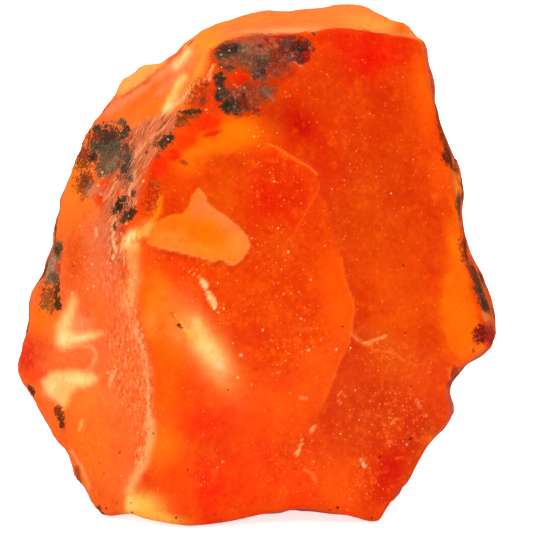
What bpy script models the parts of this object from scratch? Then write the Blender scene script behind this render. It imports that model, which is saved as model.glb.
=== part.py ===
"""Rough carnelian: one broken lump of translucent chalcedony that stands on its broken underside.

The tables are in millimetres and degrees. X runs to the right of the broad front face, Y runs away from
whoever looks at it, and Z is up. "Seen" places are given across and up in the plane that stands square to
the line of sight through the middle of the stone, so they can be read off the stone as it is looked at.
"""

import math

import bmesh
import bpy
import numpy as np
from mathutils import Matrix, Vector, noise
from mathutils.bvhtree import BVHTree

MM = 0.001
NAME = "rough_carnelian"

# The line of sight that the seen places are measured along
SIGHT_TILT = 12.0
EYE_DISTANCE = 320.0
SIGHT_CENTRE = Vector((1.0, 0.0, 19.8))

# How fine the working surface is, and how many faces are kept of it
BLOCK_SIDE = 90.0
WORKING_CELL = 0.42
KEPT_TRIANGLES = 7600
BASE_DEPTH = 3.0

# The stone's edge as it is seen, across and up, clockwise from the pale lump at the upper left
OUTLINE = [
    (-12.6, 15.2), (-12.6, 16.2), (-12.0, 16.6), (-10.7, 17.3), (-9.3, 17.6), (-8.2, 18.3), (-7.1, 19.3),
    (-6.0, 20.2), (-4.9, 21.0), (-3.5, 21.4), (-2.5, 21.6), (-1.4, 22.1), (-0.4, 22.3), (1.8, 22.3),
    (2.6, 22.6), (3.8, 22.5), (4.8, 22.4), (6.0, 22.6), (7.3, 22.6), (8.6, 22.3), (9.9, 21.9),
    (11.1, 21.3), (12.0, 20.9), (12.5, 20.0), (12.9, 19.7), (13.8, 19.6), (14.2, 19.2), (14.4, 17.8),
    (14.6, 15.3), (15.1, 11.9), (16.0, 10.0), (16.6, 7.9), (16.9, 6.7), (16.8, 5.3), (17.2, 3.7),
    (17.9, 1.8), (18.7, -0.8), (18.9, -2.0), (19.4, -3.6), (19.9, -5.1), (19.8, -6.0), (19.5, -6.7),
    (18.4, -7.7), (17.2, -8.5), (16.3, -9.6), (15.5, -10.6), (15.8, -11.6), (15.9, -12.7),
    (15.4, -13.7), (14.3, -15.0), (13.6, -16.4), (12.9, -17.7), (12.3, -19.0), (11.6, -19.4),
    (11.0, -20.4), (9.7, -22.2), (9.2, -22.2), (8.0, -21.9), (6.8, -21.5), (4.5, -21.3), (2.0, -21.1),
    (1.5, -21.5), (-0.4, -21.6), (-2.3, -21.9), (-4.5, -22.3), (-6.7, -22.6), (-9.0, -22.4),
    (-10.5, -22.0), (-11.7, -21.5), (-12.9, -21.7), (-14.1, -21.9), (-14.7, -21.5), (-15.3, -20.6),
    (-15.9, -19.4), (-16.9, -18.4), (-17.1, -17.2), (-17.4, -16.2), (-18.3, -15.3), (-19.2, -13.8),
    (-20.0, -12.4), (-20.7, -11.4), (-21.6, -9.9), (-21.9, -8.8), (-21.6, -7.4), (-21.0, -6.0),
    (-20.7, -4.8), (-20.3, -3.4), (-20.0, -2.2), (-19.4, -0.8), (-19.3, 0.4), (-18.7, 1.4),
    (-18.6, 2.7), (-18.5, 3.7), (-18.1, 4.7), (-18.0, 5.8), (-17.4, 7.5), (-17.0, 8.9), (-16.5, 10.0),
    (-16.3, 10.8), (-16.0, 12.1), (-15.0, 13.1), (-13.7, 14.1),
]

# Corners of the broken front: across, up, and depth along Y
CORNERS = {
    "ridge_top": (-4.65, 19.0, -7.4),
    "ridge_elbow": (-12.2, 4.2, -9.4),
    "ridge_low": (-10.4, -12.0, -13.2),
    "left_point": (-21.8, -8.8, -1.0),
    "pale_lump": (-12.6, 16.0, 4.5),
    "top_middle": (4.6, 20.5, -6.4),
    "top_right": (13.9, 19.6, -4.7),
    "top_back": (0.5, 22.8, 7.2),
    "top_back_right": (11.0, 22.0, 7.0),
    "ledge_head": (2.8, 10.0, -9.9),
    "ledge_out": (7.4, -4.4, -13.2),
    "ledge_foot": (4.4, -14.5, -14.8),
    "right_high": (15.3, 10.6, -7.05),
    "right_low": (18.9, -4.9, -10.9),
    "right_edge": (19.9, -4.9, 1.0),
    "notch": (15.5, -10.6, -12.4),
    "low_right": (9.7, -22.2, -12.6),
    "low_middle": (-5.8, -22.6, -14.4),
}

# Broken faces of the front, each through three of the corners
FRONT_FACES = {
    "front_centre": ("ridge_low", "ledge_out", "ridge_top"),
    "left_face": ("ridge_low", "ridge_elbow", "left_point"),
    "upper_left_slope": ("ridge_top", "ridge_elbow", "pale_lump"),
    "top": ("ridge_top", "top_middle", "top_back"),
    "top_right": ("top_middle", "top_right", "top_back_right"),
    "right_panel": ("ledge_head", "ledge_out", "right_low"),
    "lower_right": ("ledge_out", "notch", "low_right"),
    "low_front": ("ridge_low", "ledge_foot", "low_middle"),
    "right_strip": ("right_high", "right_low", "right_edge"),
}

# Faces of the back and sides: a point (x, y, z) on each, and the way that it faces
BACK_FACES = {
    "back": ((0.0, 13.2, 20.0), (0.05, 0.97, 0.15)),
    "back_left": ((-12.5, 10.3, 19.0), (-0.62, 0.77, 0.10)),
    "back_right": ((12.0, 10.2, 18.0), (0.60, 0.78, 0.05)),
    "back_low": ((1.0, 11.0, 6.0), (0.05, 0.84, -0.54)),
    "back_top": ((1.0, 11.6, 37.0), (0.05, 0.80, 0.60)),
    "back_top_left": ((-11.6, 6.8, 35.4), (-0.60, 0.42, 0.66)),
    "back_low_left": ((-14.5, 5.5, 6.0), (-0.70, 0.42, -0.58)),
    "back_low_right": ((14.5, 5.0, 6.5), (0.68, 0.42, -0.60)),
    "left_side": ((-20.6, 3.0, 12.0), (-0.95, 0.30, -0.05)),
    "right_side": ((19.4, 4.5, 16.0), (0.94, 0.32, 0.10)),
    "right_top_side": ((15.2, 4.0, 33.4), (0.90, 0.28, 0.33)),
}

# Hollow flake scars: the side they are seen from in degrees, across, up, rim radius and depth
SCARS = [
    (0, -17.0, -5.5, 7.5, 0.85),
    (0, -14.6, -15.5, 5.0, 0.55),
    (0, -14.6, 6.5, 3.6, 0.40),
    (0, -9.4, 15.2, 5.0, 0.45),
    (0, -11.2, 12.4, 3.4, 0.35),
    (0, 11.6, 9.0, 8.0, 0.40),
    (0, 10.0, -15.0, 5.5, 0.50),
    (0, -3.5, -17.6, 6.0, 0.45),
    (0, 10.3, 17.4, 5.0, 0.35),
    (0, 3.0, 20.9, 2.6, 0.35),
    (0, 9.4, 21.2, 2.8, 0.30),
    (60, -2.0, 9.0, 6.0, 0.60),
    (70, 2.5, -17.0, 4.4, 0.40),
    (95, 5.0, -14.5, 3.6, 0.30),
    (50, 8.5, -17.5, 4.0, 0.50),
    (110, 2.0, 10.0, 7.0, 0.80),
    (150, -6.0, 9.0, 8.5, 0.95),
    (165, 7.0, -8.0, 7.5, 0.80),
    (195, -5.0, -13.0, 6.0, 0.70),
    (215, 5.0, 6.0, 8.0, 0.95),
    (245, -3.0, -7.0, 7.0, 0.75),
    (255, 4.0, 9.0, 6.0, 0.70),
    (285, -4.0, -13.0, 6.0, 0.50),
    (300, -3.0, 2.0, 5.0, 0.45),
]

# How far from its middle a scar may reach, in rim radii
SCAR_REACH = 1.6

# Low lumps that stand out, in the same form, with their height
LUMPS = [
    (0, -12.5, 8.5, 2.6, 0.45),
    (0, -13.0, 12.0, 2.2, 0.35),
    (0, -5.0, 16.0, 4.0, 0.40),
    (0, -11.0, -2.0, 3.0, 0.25),
    (0, -1.5, -2.0, 7.5, 0.55),
    (0, -5.0, -9.0, 4.5, 0.30),
    (0, 17.4, -5.6, 3.0, 0.35),
    (0, 13.6, -13.5, 3.0, 0.35),
    (140, 8.0, 2.0, 4.0, 0.60),
    (180, -4.0, 0.0, 5.5, 0.70),
    (180, 8.0, 12.0, 4.0, 0.60),
    (200, 10.0, -6.0, 4.0, 0.60),
    (230, -7.0, 4.0, 4.0, 0.60),
]

# A thin flake that never came away, its rim as seen, and how far its lower edge stands out
FLAKE_RIM = [
    (-6.0, 6.7), (-5.3, 6.0), (-3.6, 4.4), (-1.6, 2.7), (-1.4, 1.4), (-2.5, 0.0), (-3.2, 0.3),
    (-4.2, 0.8), (-7.0, 1.5), (-10.2, 2.1), (-8.6, 3.6), (-7.2, 4.8),
]
FLAKE_TOP = Vector((-7.6, 6.6))
FLAKE_STEP = 0.28

# The ledge where the middle of the front stands over its upper rim and the panel at its right, as seen
LEDGE = [
    (-8.8, 10.1), (-7.4, 10.0), (-6.4, 10.7), (-4.9, 11.3), (-3.7, 12.5), (-2.5, 12.5), (-1.2, 11.8),
    (0.9, 10.6), (2.8, 9.3), (4.4, 7.6), (4.6, 6.5), (5.6, 4.4), (6.6, 0.4), (7.2, -2.9), (7.4, -4.4),
    (7.0, -6.5), (5.9, -9.1), (4.6, -12.0), (4.3, -14.5),
]
LEDGE_STEP = 0.36
LEDGE_FALL = 0.9
LEDGE_REACH = 5.5

# Weathered skin over the back, and over the side walls from a little behind their front rim
SKIN_ROUGH = 0.55
FRESH_ROUGH = 0.10
SKIN_STARTS = 1.0
SKIN_FULL = 6.0
WALL_STARTS = -10.5
WALL_FULL = -5.0
WALL_TURN = 0.35


def clear_scene():
    for thing in list(bpy.data.objects):
        bpy.data.objects.remove(thing, do_unlink=True)


def new_collection(name):
    made = bpy.data.collections.new(name)
    bpy.context.scene.collection.children.link(made)
    return made


def sight(azimuth):
    """The sight frame from one side: columns are right, up and towards the eye, from the sight's centre."""
    tilt = math.radians(90.0 - SIGHT_TILT)
    turn = Matrix.Rotation(math.radians(azimuth), 4, "Z") @ Matrix.Rotation(tilt, 4, "X")
    return Matrix.Translation(SIGHT_CENTRE) @ turn


def ray_to(azimuth, across, up):
    """Where the eye is, and the unit direction from it to a seen place."""
    frame = sight(azimuth)
    eye = frame @ Vector((0.0, 0.0, EYE_DISTANCE))
    return eye, (frame @ Vector((across, up, 0.0)) - eye).normalized()


def seen_at_depth(across, up, depth):
    """The point with that depth along Y that is seen at that place from in front."""
    eye, direction = ray_to(0.0, across, up)
    return eye + direction * ((depth - eye.y) / direction.y)


def towards_eye():
    return np.array(sight(0.0).to_3x3() @ Vector((0.0, 0.0, 1.0)))


def seen_places(points):
    """Across and up, from in front, of an array of points."""
    frame = np.array(sight(0.0).inverted())
    local = points @ frame[:3, :3].T + frame[:3, 3]
    return local[:, :2] * (EYE_DISTANCE / (EYE_DISTANCE - local[:, 2:3]))


def evaluated_mesh(thing):
    graph = bpy.context.evaluated_depsgraph_get()
    return bpy.data.meshes.new_from_object(thing.evaluated_get(graph))


def outline_prism(collection):
    """The stone's outline, spread along the lines of sight like a solid shadow."""
    curve = bpy.data.curves.new("outline_line", "CURVE")
    curve.dimensions = "2D"
    curve.fill_mode = "BOTH"
    curve.extrude = BLOCK_SIDE / 2
    line = curve.splines.new("POLY")
    line.points.add(len(OUTLINE) - 1)
    for point, (across, up) in zip(line.points, OUTLINE):
        point.co = (across, up, 0.0, 1.0)
    line.use_cyclic_u = True
    guide = bpy.data.objects.new("outline_guide", curve)
    collection.objects.link(guide)
    mesh = evaluated_mesh(guide)
    bpy.data.objects.remove(guide, do_unlink=True)
    for vertex in mesh.vertices:
        spread = (EYE_DISTANCE - vertex.co.z) / EYE_DISTANCE
        vertex.co.x *= spread
        vertex.co.y *= spread
    mesh.transform(sight(0.0))
    work = bmesh.new()
    work.from_mesh(mesh)
    bmesh.ops.remove_doubles(work, verts=work.verts, dist=1e-4)
    bmesh.ops.recalc_face_normals(work, faces=work.faces)
    work.to_mesh(mesh)
    work.free()
    prism = bpy.data.objects.new("outline_prism", mesh)
    prism.hide_render = True
    prism.display_type = "WIRE"
    collection.objects.link(prism)
    return prism


def cut_plane(work, point, outward):
    """Cuts away what lies beyond a plane, and closes the cut."""
    everything = work.verts[:] + work.edges[:] + work.faces[:]
    cut = bmesh.ops.bisect_plane(work, geom=everything, plane_co=point, plane_no=outward, clear_outer=True)
    edges = [item for item in cut["geom_cut"] if isinstance(item, bmesh.types.BMEdge)]
    if edges:
        bmesh.ops.edgenet_fill(work, edges=edges)


def broken_block(collection):
    """A block with every broken face of the stone cut flat on it."""
    work = bmesh.new()
    bmesh.ops.create_cube(work, size=BLOCK_SIDE, matrix=Matrix.Translation(SIGHT_CENTRE))
    cut_plane(work, Vector((0.0, 0.0, -BASE_DEPTH)), Vector((0.0, 0.0, -1.0)))
    for corners in FRONT_FACES.values():
        a, b, c = (seen_at_depth(*CORNERS[corner]) for corner in corners)
        outward = (b - a).cross(c - a).normalized()
        if outward.dot(a - SIGHT_CENTRE) < 0:
            outward.negate()
        cut_plane(work, a, outward)
    for point, outward in BACK_FACES.values():
        cut_plane(work, Vector(point), Vector(outward).normalized())
    bmesh.ops.recalc_face_normals(work, faces=work.faces)
    mesh = bpy.data.meshes.new(NAME)
    work.to_mesh(mesh)
    work.free()
    block = bpy.data.objects.new(NAME, mesh)
    collection.objects.link(block)
    return block


def take_modifiers(thing):
    """Makes the object's mesh what its modifiers show, and drops them."""
    mesh = evaluated_mesh(thing)
    thing.modifiers.clear()
    thing.data = mesh


def trim_and_refine(block, prism):
    """Trims the block to the outline, then gives it an even working surface."""
    trim = block.modifiers.new("trim to outline", "BOOLEAN")
    trim.operation = "INTERSECT"
    trim.object = prism
    even = block.modifiers.new("even surface", "REMESH")
    even.mode = "VOXEL"
    even.voxel_size = WORKING_CELL
    take_modifiers(block)


def tree_of(mesh):
    points = [vertex.co.copy() for vertex in mesh.vertices]
    return BVHTree.FromPolygons(points, [tuple(face.vertices) for face in mesh.polygons])


def coordinates(mesh):
    values = np.empty(len(mesh.vertices) * 3, np.float32)
    mesh.vertices.foreach_get("co", values)
    return values.reshape(-1, 3).astype(np.float64)


def normals(mesh):
    values = np.empty(len(mesh.vertices) * 3, np.float32)
    mesh.vertex_normals.foreach_get("vector", values)
    return values.reshape(-1, 3).astype(np.float64)


def ball_at(tree, azimuth, across, up, rim, depth):
    """The ball that meets the surface at a seen place, or as near to it, in a circle of the rim's radius."""
    hit, outward, _, _ = tree.ray_cast(*ray_to(azimuth, across, up))
    if hit is None:
        hit, outward, _, _ = tree.find_nearest(sight(azimuth) @ Vector((across, up, 0.0)))
    radius = (rim * rim + depth * depth) / (2 * depth)
    return np.array(hit), np.array(outward), radius


def strike_scars(points, tree):
    """Presses each scar's ball into the surface: what lies in the ball moves out to its skin."""
    for azimuth, across, up, rim, depth in SCARS:
        hit, outward, radius = ball_at(tree, azimuth, across, up, rim, depth)
        centre = hit + outward * (radius - depth)
        away = points - centre
        distance = np.linalg.norm(away, axis=1)
        reach = np.linalg.norm(points - hit, axis=1)
        share = np.clip((SCAR_REACH * rim - reach) / (0.5 * rim), 0.0, 1.0) * (distance < radius)
        points += away * (share * (radius / distance - 1.0))[:, None]


def raise_lumps(points, tree):
    for azimuth, across, up, rim, height in LUMPS:
        hit, outward, _ = ball_at(tree, azimuth, across, up, rim, height)
        share = np.clip(np.linalg.norm(points - hit, axis=1) / rim, 0.0, 1.0)
        points += outward * (height * (1.0 - share**2) ** 2)[:, None]


def inside(places, rim):
    """Which seen places lie inside a closed line, by counting the sides that each crosses."""
    x, y = places[:, 0], places[:, 1]
    found = np.zeros(len(places), bool)
    for (ax, ay), (bx, by) in zip(rim, rim[1:] + rim[:1]):
        if ay == by:
            continue
        crosses = (ay > y) != (by > y)
        found ^= crosses & (x < (bx - ax) * (y - ay) / (by - ay) + ax)
    return found


def measured_to_line(places, line):
    """Each place's distance to an open line, its side (positive at the left), and how far along it lies."""
    nearest = np.full(len(places), np.inf)
    side = np.zeros(len(places))
    run = np.zeros(len(places))
    passed = 0.0
    for start, end in zip(line, line[1:]):
        a, b = np.array(start), np.array(end)
        along = b - a
        length = np.linalg.norm(along)
        share = np.clip((places - a) @ along / length**2, 0.0, 1.0)
        gap = places - (a + share[:, None] * along)
        distance = np.linalg.norm(gap, axis=1)
        closer = distance < nearest
        nearest[closer] = distance[closer]
        side[closer] = np.sign(along[0] * gap[closer, 1] - along[1] * gap[closer, 0])
        run[closer] = passed + share[closer] * length
        passed += length
    return nearest, side, run / passed


def step_the_front(points, outward):
    """Lifts the flake's lower edge and the middle of the front above the panel at its right."""
    forward = towards_eye()
    faces_eye = outward @ forward > 0.35
    places = seen_places(points)
    on_flake = inside(places, FLAKE_RIM) & faces_eye
    fall = np.linalg.norm(places - np.array(FLAKE_TOP), axis=1)
    rise = FLAKE_STEP * np.clip(fall / 6.0, 0.0, 1.0) * on_flake
    distance, side, run = measured_to_line(places, LEDGE)
    right = (side > 0) & faces_eye
    drop = np.clip(distance / LEDGE_FALL, 0.0, 1.0) * np.clip(1.0 - distance / LEDGE_REACH, 0.0, 1.0)
    drop *= np.clip(5.0 * run, 0.0, 1.0) * np.clip(5.0 * (1.0 - run), 0.0, 1.0)
    rise -= LEDGE_STEP * drop * right
    points += forward * rise[:, None]


def roughen(points, outward):
    """A gentle swell on the broken faces, and a pitted skin on the weathered back and side walls."""
    depth = points[:, 1]
    skin = np.clip((depth - SKIN_STARTS) / (SKIN_FULL - SKIN_STARTS), 0.0, 1.0)
    turned = np.abs(outward @ towards_eye())
    wall = np.clip(2.0 * (1.0 - turned / WALL_TURN), 0.0, 1.0)
    wall *= np.clip((depth - WALL_STARTS) / (WALL_FULL - WALL_STARTS), 0.0, 1.0)
    skin = np.maximum(skin, wall)
    swell = np.array([noise.noise(Vector(p) * 0.16) for p in points])
    waves = np.array([noise.noise(Vector(p) * 0.45 + Vector((7.0, 3.0, 1.0))) for p in points])
    pits = np.array([noise.turbulence(Vector(p) * 0.30, 4, True) for p in points])
    fresh = FRESH_ROUGH * (1.6 * swell + waves - 0.6)
    weathered = SKIN_ROUGH * (1.1 * swell + 0.5 * waves - 0.55 * (pits - 0.3))
    points += outward * (fresh * (1.0 - skin) + weathered * skin)[:, None]


def shape_surface(stone):
    mesh = stone.data
    tree = tree_of(mesh)
    points = coordinates(mesh)
    raise_lumps(points, tree)
    strike_scars(points, tree)
    step_the_front(points, normals(mesh))
    mesh.vertices.foreach_set("co", points.astype(np.float32).ravel())
    mesh.update()
    points = coordinates(mesh)
    roughen(points, normals(mesh))
    mesh.vertices.foreach_set("co", points.astype(np.float32).ravel())
    mesh.update()


def keep_fewer_faces(stone):
    triangles = sum(len(face.vertices) - 2 for face in stone.data.polygons)
    fewer = stone.modifiers.new("fewer faces", "DECIMATE")
    fewer.ratio = KEPT_TRIANGLES / triangles
    fewer.use_collapse_triangulate = True
    take_modifiers(stone)


def stand_on_base(stone):
    """Cuts the underside flat at Z = 0, puts the origin under the middle, and goes over to metres."""
    work = bmesh.new()
    work.from_mesh(stone.data)
    cut_plane(work, Vector((0.0, 0.0, 0.0)), Vector((0.0, 0.0, -1.0)))
    bmesh.ops.triangulate(work, faces=[face for face in work.faces if len(face.verts) > 3])
    bmesh.ops.recalc_face_normals(work, faces=work.faces)
    work.to_mesh(stone.data)
    work.free()
    points = coordinates(stone.data)
    middle = (points.min(axis=0) + points.max(axis=0)) / 2
    shift = Matrix.Translation((-middle[0], -middle[1], 0.0))
    stone.data.transform(Matrix.Scale(MM, 4) @ shift)
    stone.data.shade_flat()


def carnelian_material():
    made = bpy.data.materials.new("carnelian")
    made.use_nodes = True
    made.diffuse_color = (0.86, 0.13, 0.01, 1.0)
    shader = made.node_tree.nodes["Principled BSDF"]
    shader.inputs["Base Color"].default_value = (0.86, 0.13, 0.01, 1.0)
    shader.inputs["Roughness"].default_value = 0.38
    shader.inputs["Metallic"].default_value = 0.0
    shader.inputs["IOR"].default_value = 1.54
    shader.inputs["Subsurface Weight"].default_value = 0.5
    shader.inputs["Subsurface Radius"].default_value = (0.006, 0.0015, 0.0004)
    return made


def main():
    clear_scene()
    parts = new_collection(NAME)
    cutters = new_collection("cutters")
    prism = outline_prism(cutters)
    stone = broken_block(parts)
    trim_and_refine(stone, prism)
    shape_surface(stone)
    keep_fewer_faces(stone)
    stand_on_base(stone)
    stone.data.materials.clear()
    stone.data.materials.append(carnelian_material())
    bpy.data.objects.remove(prism, do_unlink=True)


main()
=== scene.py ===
"""Looks of the rough carnelian: its broken and frosted faces, its weathered skin, and the light it stands in.

Lengths are in millimetres until a mesh is written. A place named in pixels is where a mark is seen in the
square picture of the stone, 533 pixels a side. Marks are laid on the surface once, so they stay where they
are from any side. Most are what each point of the stone is made of; some are light and shade painted into its
colour: glows, sheen, highlights, glints and shadows.
"""

import math

import bmesh
import bpy
import numpy as np
from mathutils import Matrix, Vector, noise


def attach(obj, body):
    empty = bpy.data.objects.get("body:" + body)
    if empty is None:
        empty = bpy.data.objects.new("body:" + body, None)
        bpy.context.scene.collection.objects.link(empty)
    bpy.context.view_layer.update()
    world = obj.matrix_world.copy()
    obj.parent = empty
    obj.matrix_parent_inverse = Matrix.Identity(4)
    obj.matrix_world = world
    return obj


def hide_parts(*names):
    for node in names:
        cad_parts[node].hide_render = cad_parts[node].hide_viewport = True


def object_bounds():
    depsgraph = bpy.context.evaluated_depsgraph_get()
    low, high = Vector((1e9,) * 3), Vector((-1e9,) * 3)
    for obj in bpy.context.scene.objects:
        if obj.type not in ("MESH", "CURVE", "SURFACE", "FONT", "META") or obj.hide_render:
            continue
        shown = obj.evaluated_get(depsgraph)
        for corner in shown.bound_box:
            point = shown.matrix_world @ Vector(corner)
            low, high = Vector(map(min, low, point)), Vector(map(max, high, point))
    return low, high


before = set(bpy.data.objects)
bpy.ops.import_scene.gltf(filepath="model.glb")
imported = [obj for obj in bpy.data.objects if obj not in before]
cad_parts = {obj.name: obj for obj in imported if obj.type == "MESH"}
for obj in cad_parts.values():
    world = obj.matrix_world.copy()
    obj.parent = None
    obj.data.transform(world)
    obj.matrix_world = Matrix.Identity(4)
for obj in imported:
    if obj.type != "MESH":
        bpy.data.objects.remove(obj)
cad_low, cad_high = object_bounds()

MM = 0.001

# The line of sight: the camera looks down a little on the stone's broad broken face
SIGHT_TILT = 12.0
EYE_DISTANCE = 320.0
SIGHT_CENTRE = Vector((0.875, -0.461, 19.8))
PICTURE_SIDE = 533.0
PIXELS_PER_MM = 11.5
SENSOR = 36.0

# Soft lamps, all as far from the stone, in metres: azimuth, elevation, side in metres and power
LAMP_DISTANCE = 0.50
SOFTBOXES = {
    "left_softbox": (-66, 24, 0.40, 1.16),
    "right_softbox": (62, 26, 0.36, 1.00),
    "high_front_softbox": (0, 40, 0.34, 0.98),
    "back_softbox": (178, 50, 0.40, 2.0),
    "back_left_softbox": (-130, 30, 0.36, 0.45),
}

# The fine surface. Its cells are halved on faces that turn to the eye by more than FINE_FROM. It is smoothed
# least where it bends by more than RELAX_KEEP, and stands PROUD of the smoothed one.
CELL = 0.385
FINE_FROM = 0.2
RELAX_ROUNDS = 60
RELAX_KEEP = 0.035
PROUD = 0.04

# Colours as they are seen, red, green and blue out of 255
RED_ORANGE = (228, 62, 1)
BLOOD = (198, 14, 1)
RUST = (150, 54, 12)
MAROON = (96, 28, 16)
MAUVE = (128, 74, 62)
UMBER = (84, 46, 18)
OLIVE = (60, 56, 36)
GREEN_BLACK = (38, 42, 32)


def linear(colour):
    """A seen colour as the light that makes it."""
    share = np.array(colour, float) / 255.0
    return np.where(share <= 0.04045, share / 12.92, ((share + 0.055) / 1.055) ** 2.4)


# Places and distances


def sight_frame():
    """Columns are right, up and towards the eye, from the sight's centre."""
    turn = Matrix.Rotation(math.radians(90.0 - SIGHT_TILT), 4, "X")
    return Matrix.Translation(SIGHT_CENTRE) @ turn


def towards_eye():
    return np.array(sight_frame().to_3x3() @ Vector((0.0, 0.0, 1.0)))


def seen_pixels(points):
    """Where an array of points is seen in the picture."""
    into = np.array(sight_frame().inverted())
    local = points @ into[:3, :3].T + into[:3, 3]
    flat = local[:, :2] * (EYE_DISTANCE / (EYE_DISTANCE - local[:, 2:3])) * PIXELS_PER_MM
    return np.stack([PICTURE_SIDE / 2 + flat[:, 0], PICTURE_SIDE / 2 - flat[:, 1]], axis=1)


def grain(points, size, shift=0.0):
    """Smooth noise, about -1 to 1, with features of about that size."""
    return np.array([noise.noise(place) for place in (points / size + shift).tolist()])


def ramp(values, low, high):
    share = np.clip((values - low) / (high - low), 0.0, 1.0)
    return share * share * (3.0 - 2.0 * share)


def gap_to_line(places, line):
    """Distance from each place to an open line, and the side of it: positive at the left as it is drawn."""
    nearest = np.full(len(places), np.inf)
    side = np.zeros(len(places))
    for start, end in zip(line, line[1:]):
        a = np.array(start, float)
        along = np.array(end, float) - a
        share = np.clip((places - a) @ along / (along @ along), 0.0, 1.0)
        gap = places - (a + share[:, None] * along)
        distance = np.linalg.norm(gap, axis=1)
        closer = distance < nearest
        nearest[closer] = distance[closer]
        side[closer] = np.sign(gap[closer, 0] * along[1] - gap[closer, 1] * along[0])
    return nearest, side


def depth_in_area(places, rim):
    """Distance to a closed line, positive inside it."""
    closed = list(rim) + [rim[0]]
    distance, _ = gap_to_line(places, closed)
    x, y = places[:, 0], places[:, 1]
    inside = np.zeros(len(places), bool)
    for (ax, ay), (bx, by) in zip(closed, closed[1:]):
        if ay != by:
            inside ^= ((ay > y) != (by > y)) & (x < (bx - ax) * (y - ay) / (by - ay) + ax)
    return np.where(inside, distance, -distance)


def area(places, rim, soft):
    return ramp(depth_in_area(places, rim), -soft, soft)


def oval_reach(places, x, y, wide, high, turn):
    """Distance from an oval's middle, one at its rim; turn is in degrees, clockwise as seen."""
    angle = math.radians(turn)
    dx, dy = places[:, 0] - x, places[:, 1] - y
    u = (dx * math.cos(angle) + dy * math.sin(angle)) / wide
    v = (dy * math.cos(angle) - dx * math.sin(angle)) / high
    return np.sqrt(u * u + v * v)


def cloud(places, mark):
    """A soft spot, one in its middle, for a mark that starts with x, y, half width, half height and turn."""
    reach = oval_reach(places, *mark[:5])
    return np.exp(-0.8 * reach**2.6)


def haze(places, mark):
    """A glow that has no edge at all, for the same kind of mark."""
    reach = oval_reach(places, *mark[:5])
    return np.exp(-1.1 * reach**1.7)


def streak(places, mark):
    """A soft line, for a mark that starts with its points and its half width."""
    distance, _ = gap_to_line(places, mark[0])
    return np.exp(-((distance / mark[1]) ** 2))


def stain(places, mark):
    """A spot with a clearer edge, for the same kind of mark."""
    return 1.0 - ramp(oval_reach(places, *mark[:5]), 0.55, 1.35)


def smear(places, mark):
    """A spot that thins out slowly, for skin whose edge crumbles."""
    return 1.0 - ramp(oval_reach(places, *mark[:5]), 0.35, 1.75)


def thread(places, mark):
    """A line with clear edges, for a mark that starts with its points and its half width."""
    distance, _ = gap_to_line(places, mark[0])
    return 1.0 - ramp(distance, max(mark[1] - 1.0, 0.0), mark[1] + 1.2)


def patch(places, mark):
    """An area, for a mark that starts with its outline and how soft its edge is."""
    return area(places, mark[0], mark[1])


def paint(tone, share, shade):
    """Lays a colour, as it is seen, over the tone of every point."""
    tone += (linear(shade) - tone) * share[:, None]


def paint_marks(tone, marks, shape, places, within):
    """Lays marks that end with their colour and strength."""
    for mark in marks.values():
        paint(tone, shape(places, mark) * within * mark[-1], mark[-2])


def nearest_dot(places, groups):
    """Distance to the nearest of some dots, in their own radii, at most FAR_DOT."""
    nearest = np.full(len(places), FAR_DOT)
    for dots in groups.values():
        for x, y, radius in dots:
            np.minimum(nearest, np.hypot(places[:, 0] - x, places[:, 1] - y) / radius, out=nearest)
    return nearest


# The faces of the front, the ledge and the flake scar, as seen in pixels

LEFT_FACE = [
    (116, 224), (120, 260), (127, 303), (143, 346), (147, 372), (149, 432), (138, 461), (127, 484),
    (126, 503), (118, 530), (80, 530), (0, 400), (0, 300), (50, 190), (80, 190),
]
UPPER_SLOPE = [
    (213, 48), (206, 69), (198, 96), (181, 112), (163, 126), (131, 132), (110, 165), (85, 205), (50, 200),
    (60, 120), (120, 50), (170, 20), (195, 20),
]
TOP_BAND = [
    (213, 48), (225, 41), (262, 36), (312, 32), (335, 27), (357, 29), (385, 34), (408, 37), (432, 44),
    (440, 0), (200, 0), (180, 36),
]
LEDGE = [
    (269, 144), (276, 147), (286, 154), (298, 161), (308, 166), (316, 174), (320, 190), (330, 215),
    (341, 258), (344, 277), (353, 303), (354, 311), (351, 331), (349, 343), (340, 360), (330, 388),
    (321, 407), (313, 430),
]
LEDGE_SOFT_UNTIL = 180.0
LEDGE_CLEAR_FROM = 330.0
LEDGE_FADES_FROM = 395.0
LEDGE_GONE_BY = 440.0

# The flake scar fades into the stone at its left, across this slanting way
FLAKE_MERGE_SLANT = 0.4
FLAKE_MERGED_AT = 232.0
FLAKE_CLEAR_AT = 256.0
FLAKE = [
    (198, 187), (206, 197), (208, 204), (218, 212), (228, 218), (240, 228), (247, 236), (250, 245),
    (248, 251), (244, 255), (243, 260), (232, 266), (227, 263), (222, 259), (218, 260), (214, 262),
    (198, 257), (174, 251), (157, 247), (146, 243), (152, 228), (160, 220), (170, 215), (183, 214),
    (189, 206), (192, 195),
]
FLAKE_RIM = FLAKE[:14] + FLAKE[15:19] + [(148, 244)]

# Soft clouds of colour: x, y, half width, half height, turn in degrees, colour, strength

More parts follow.
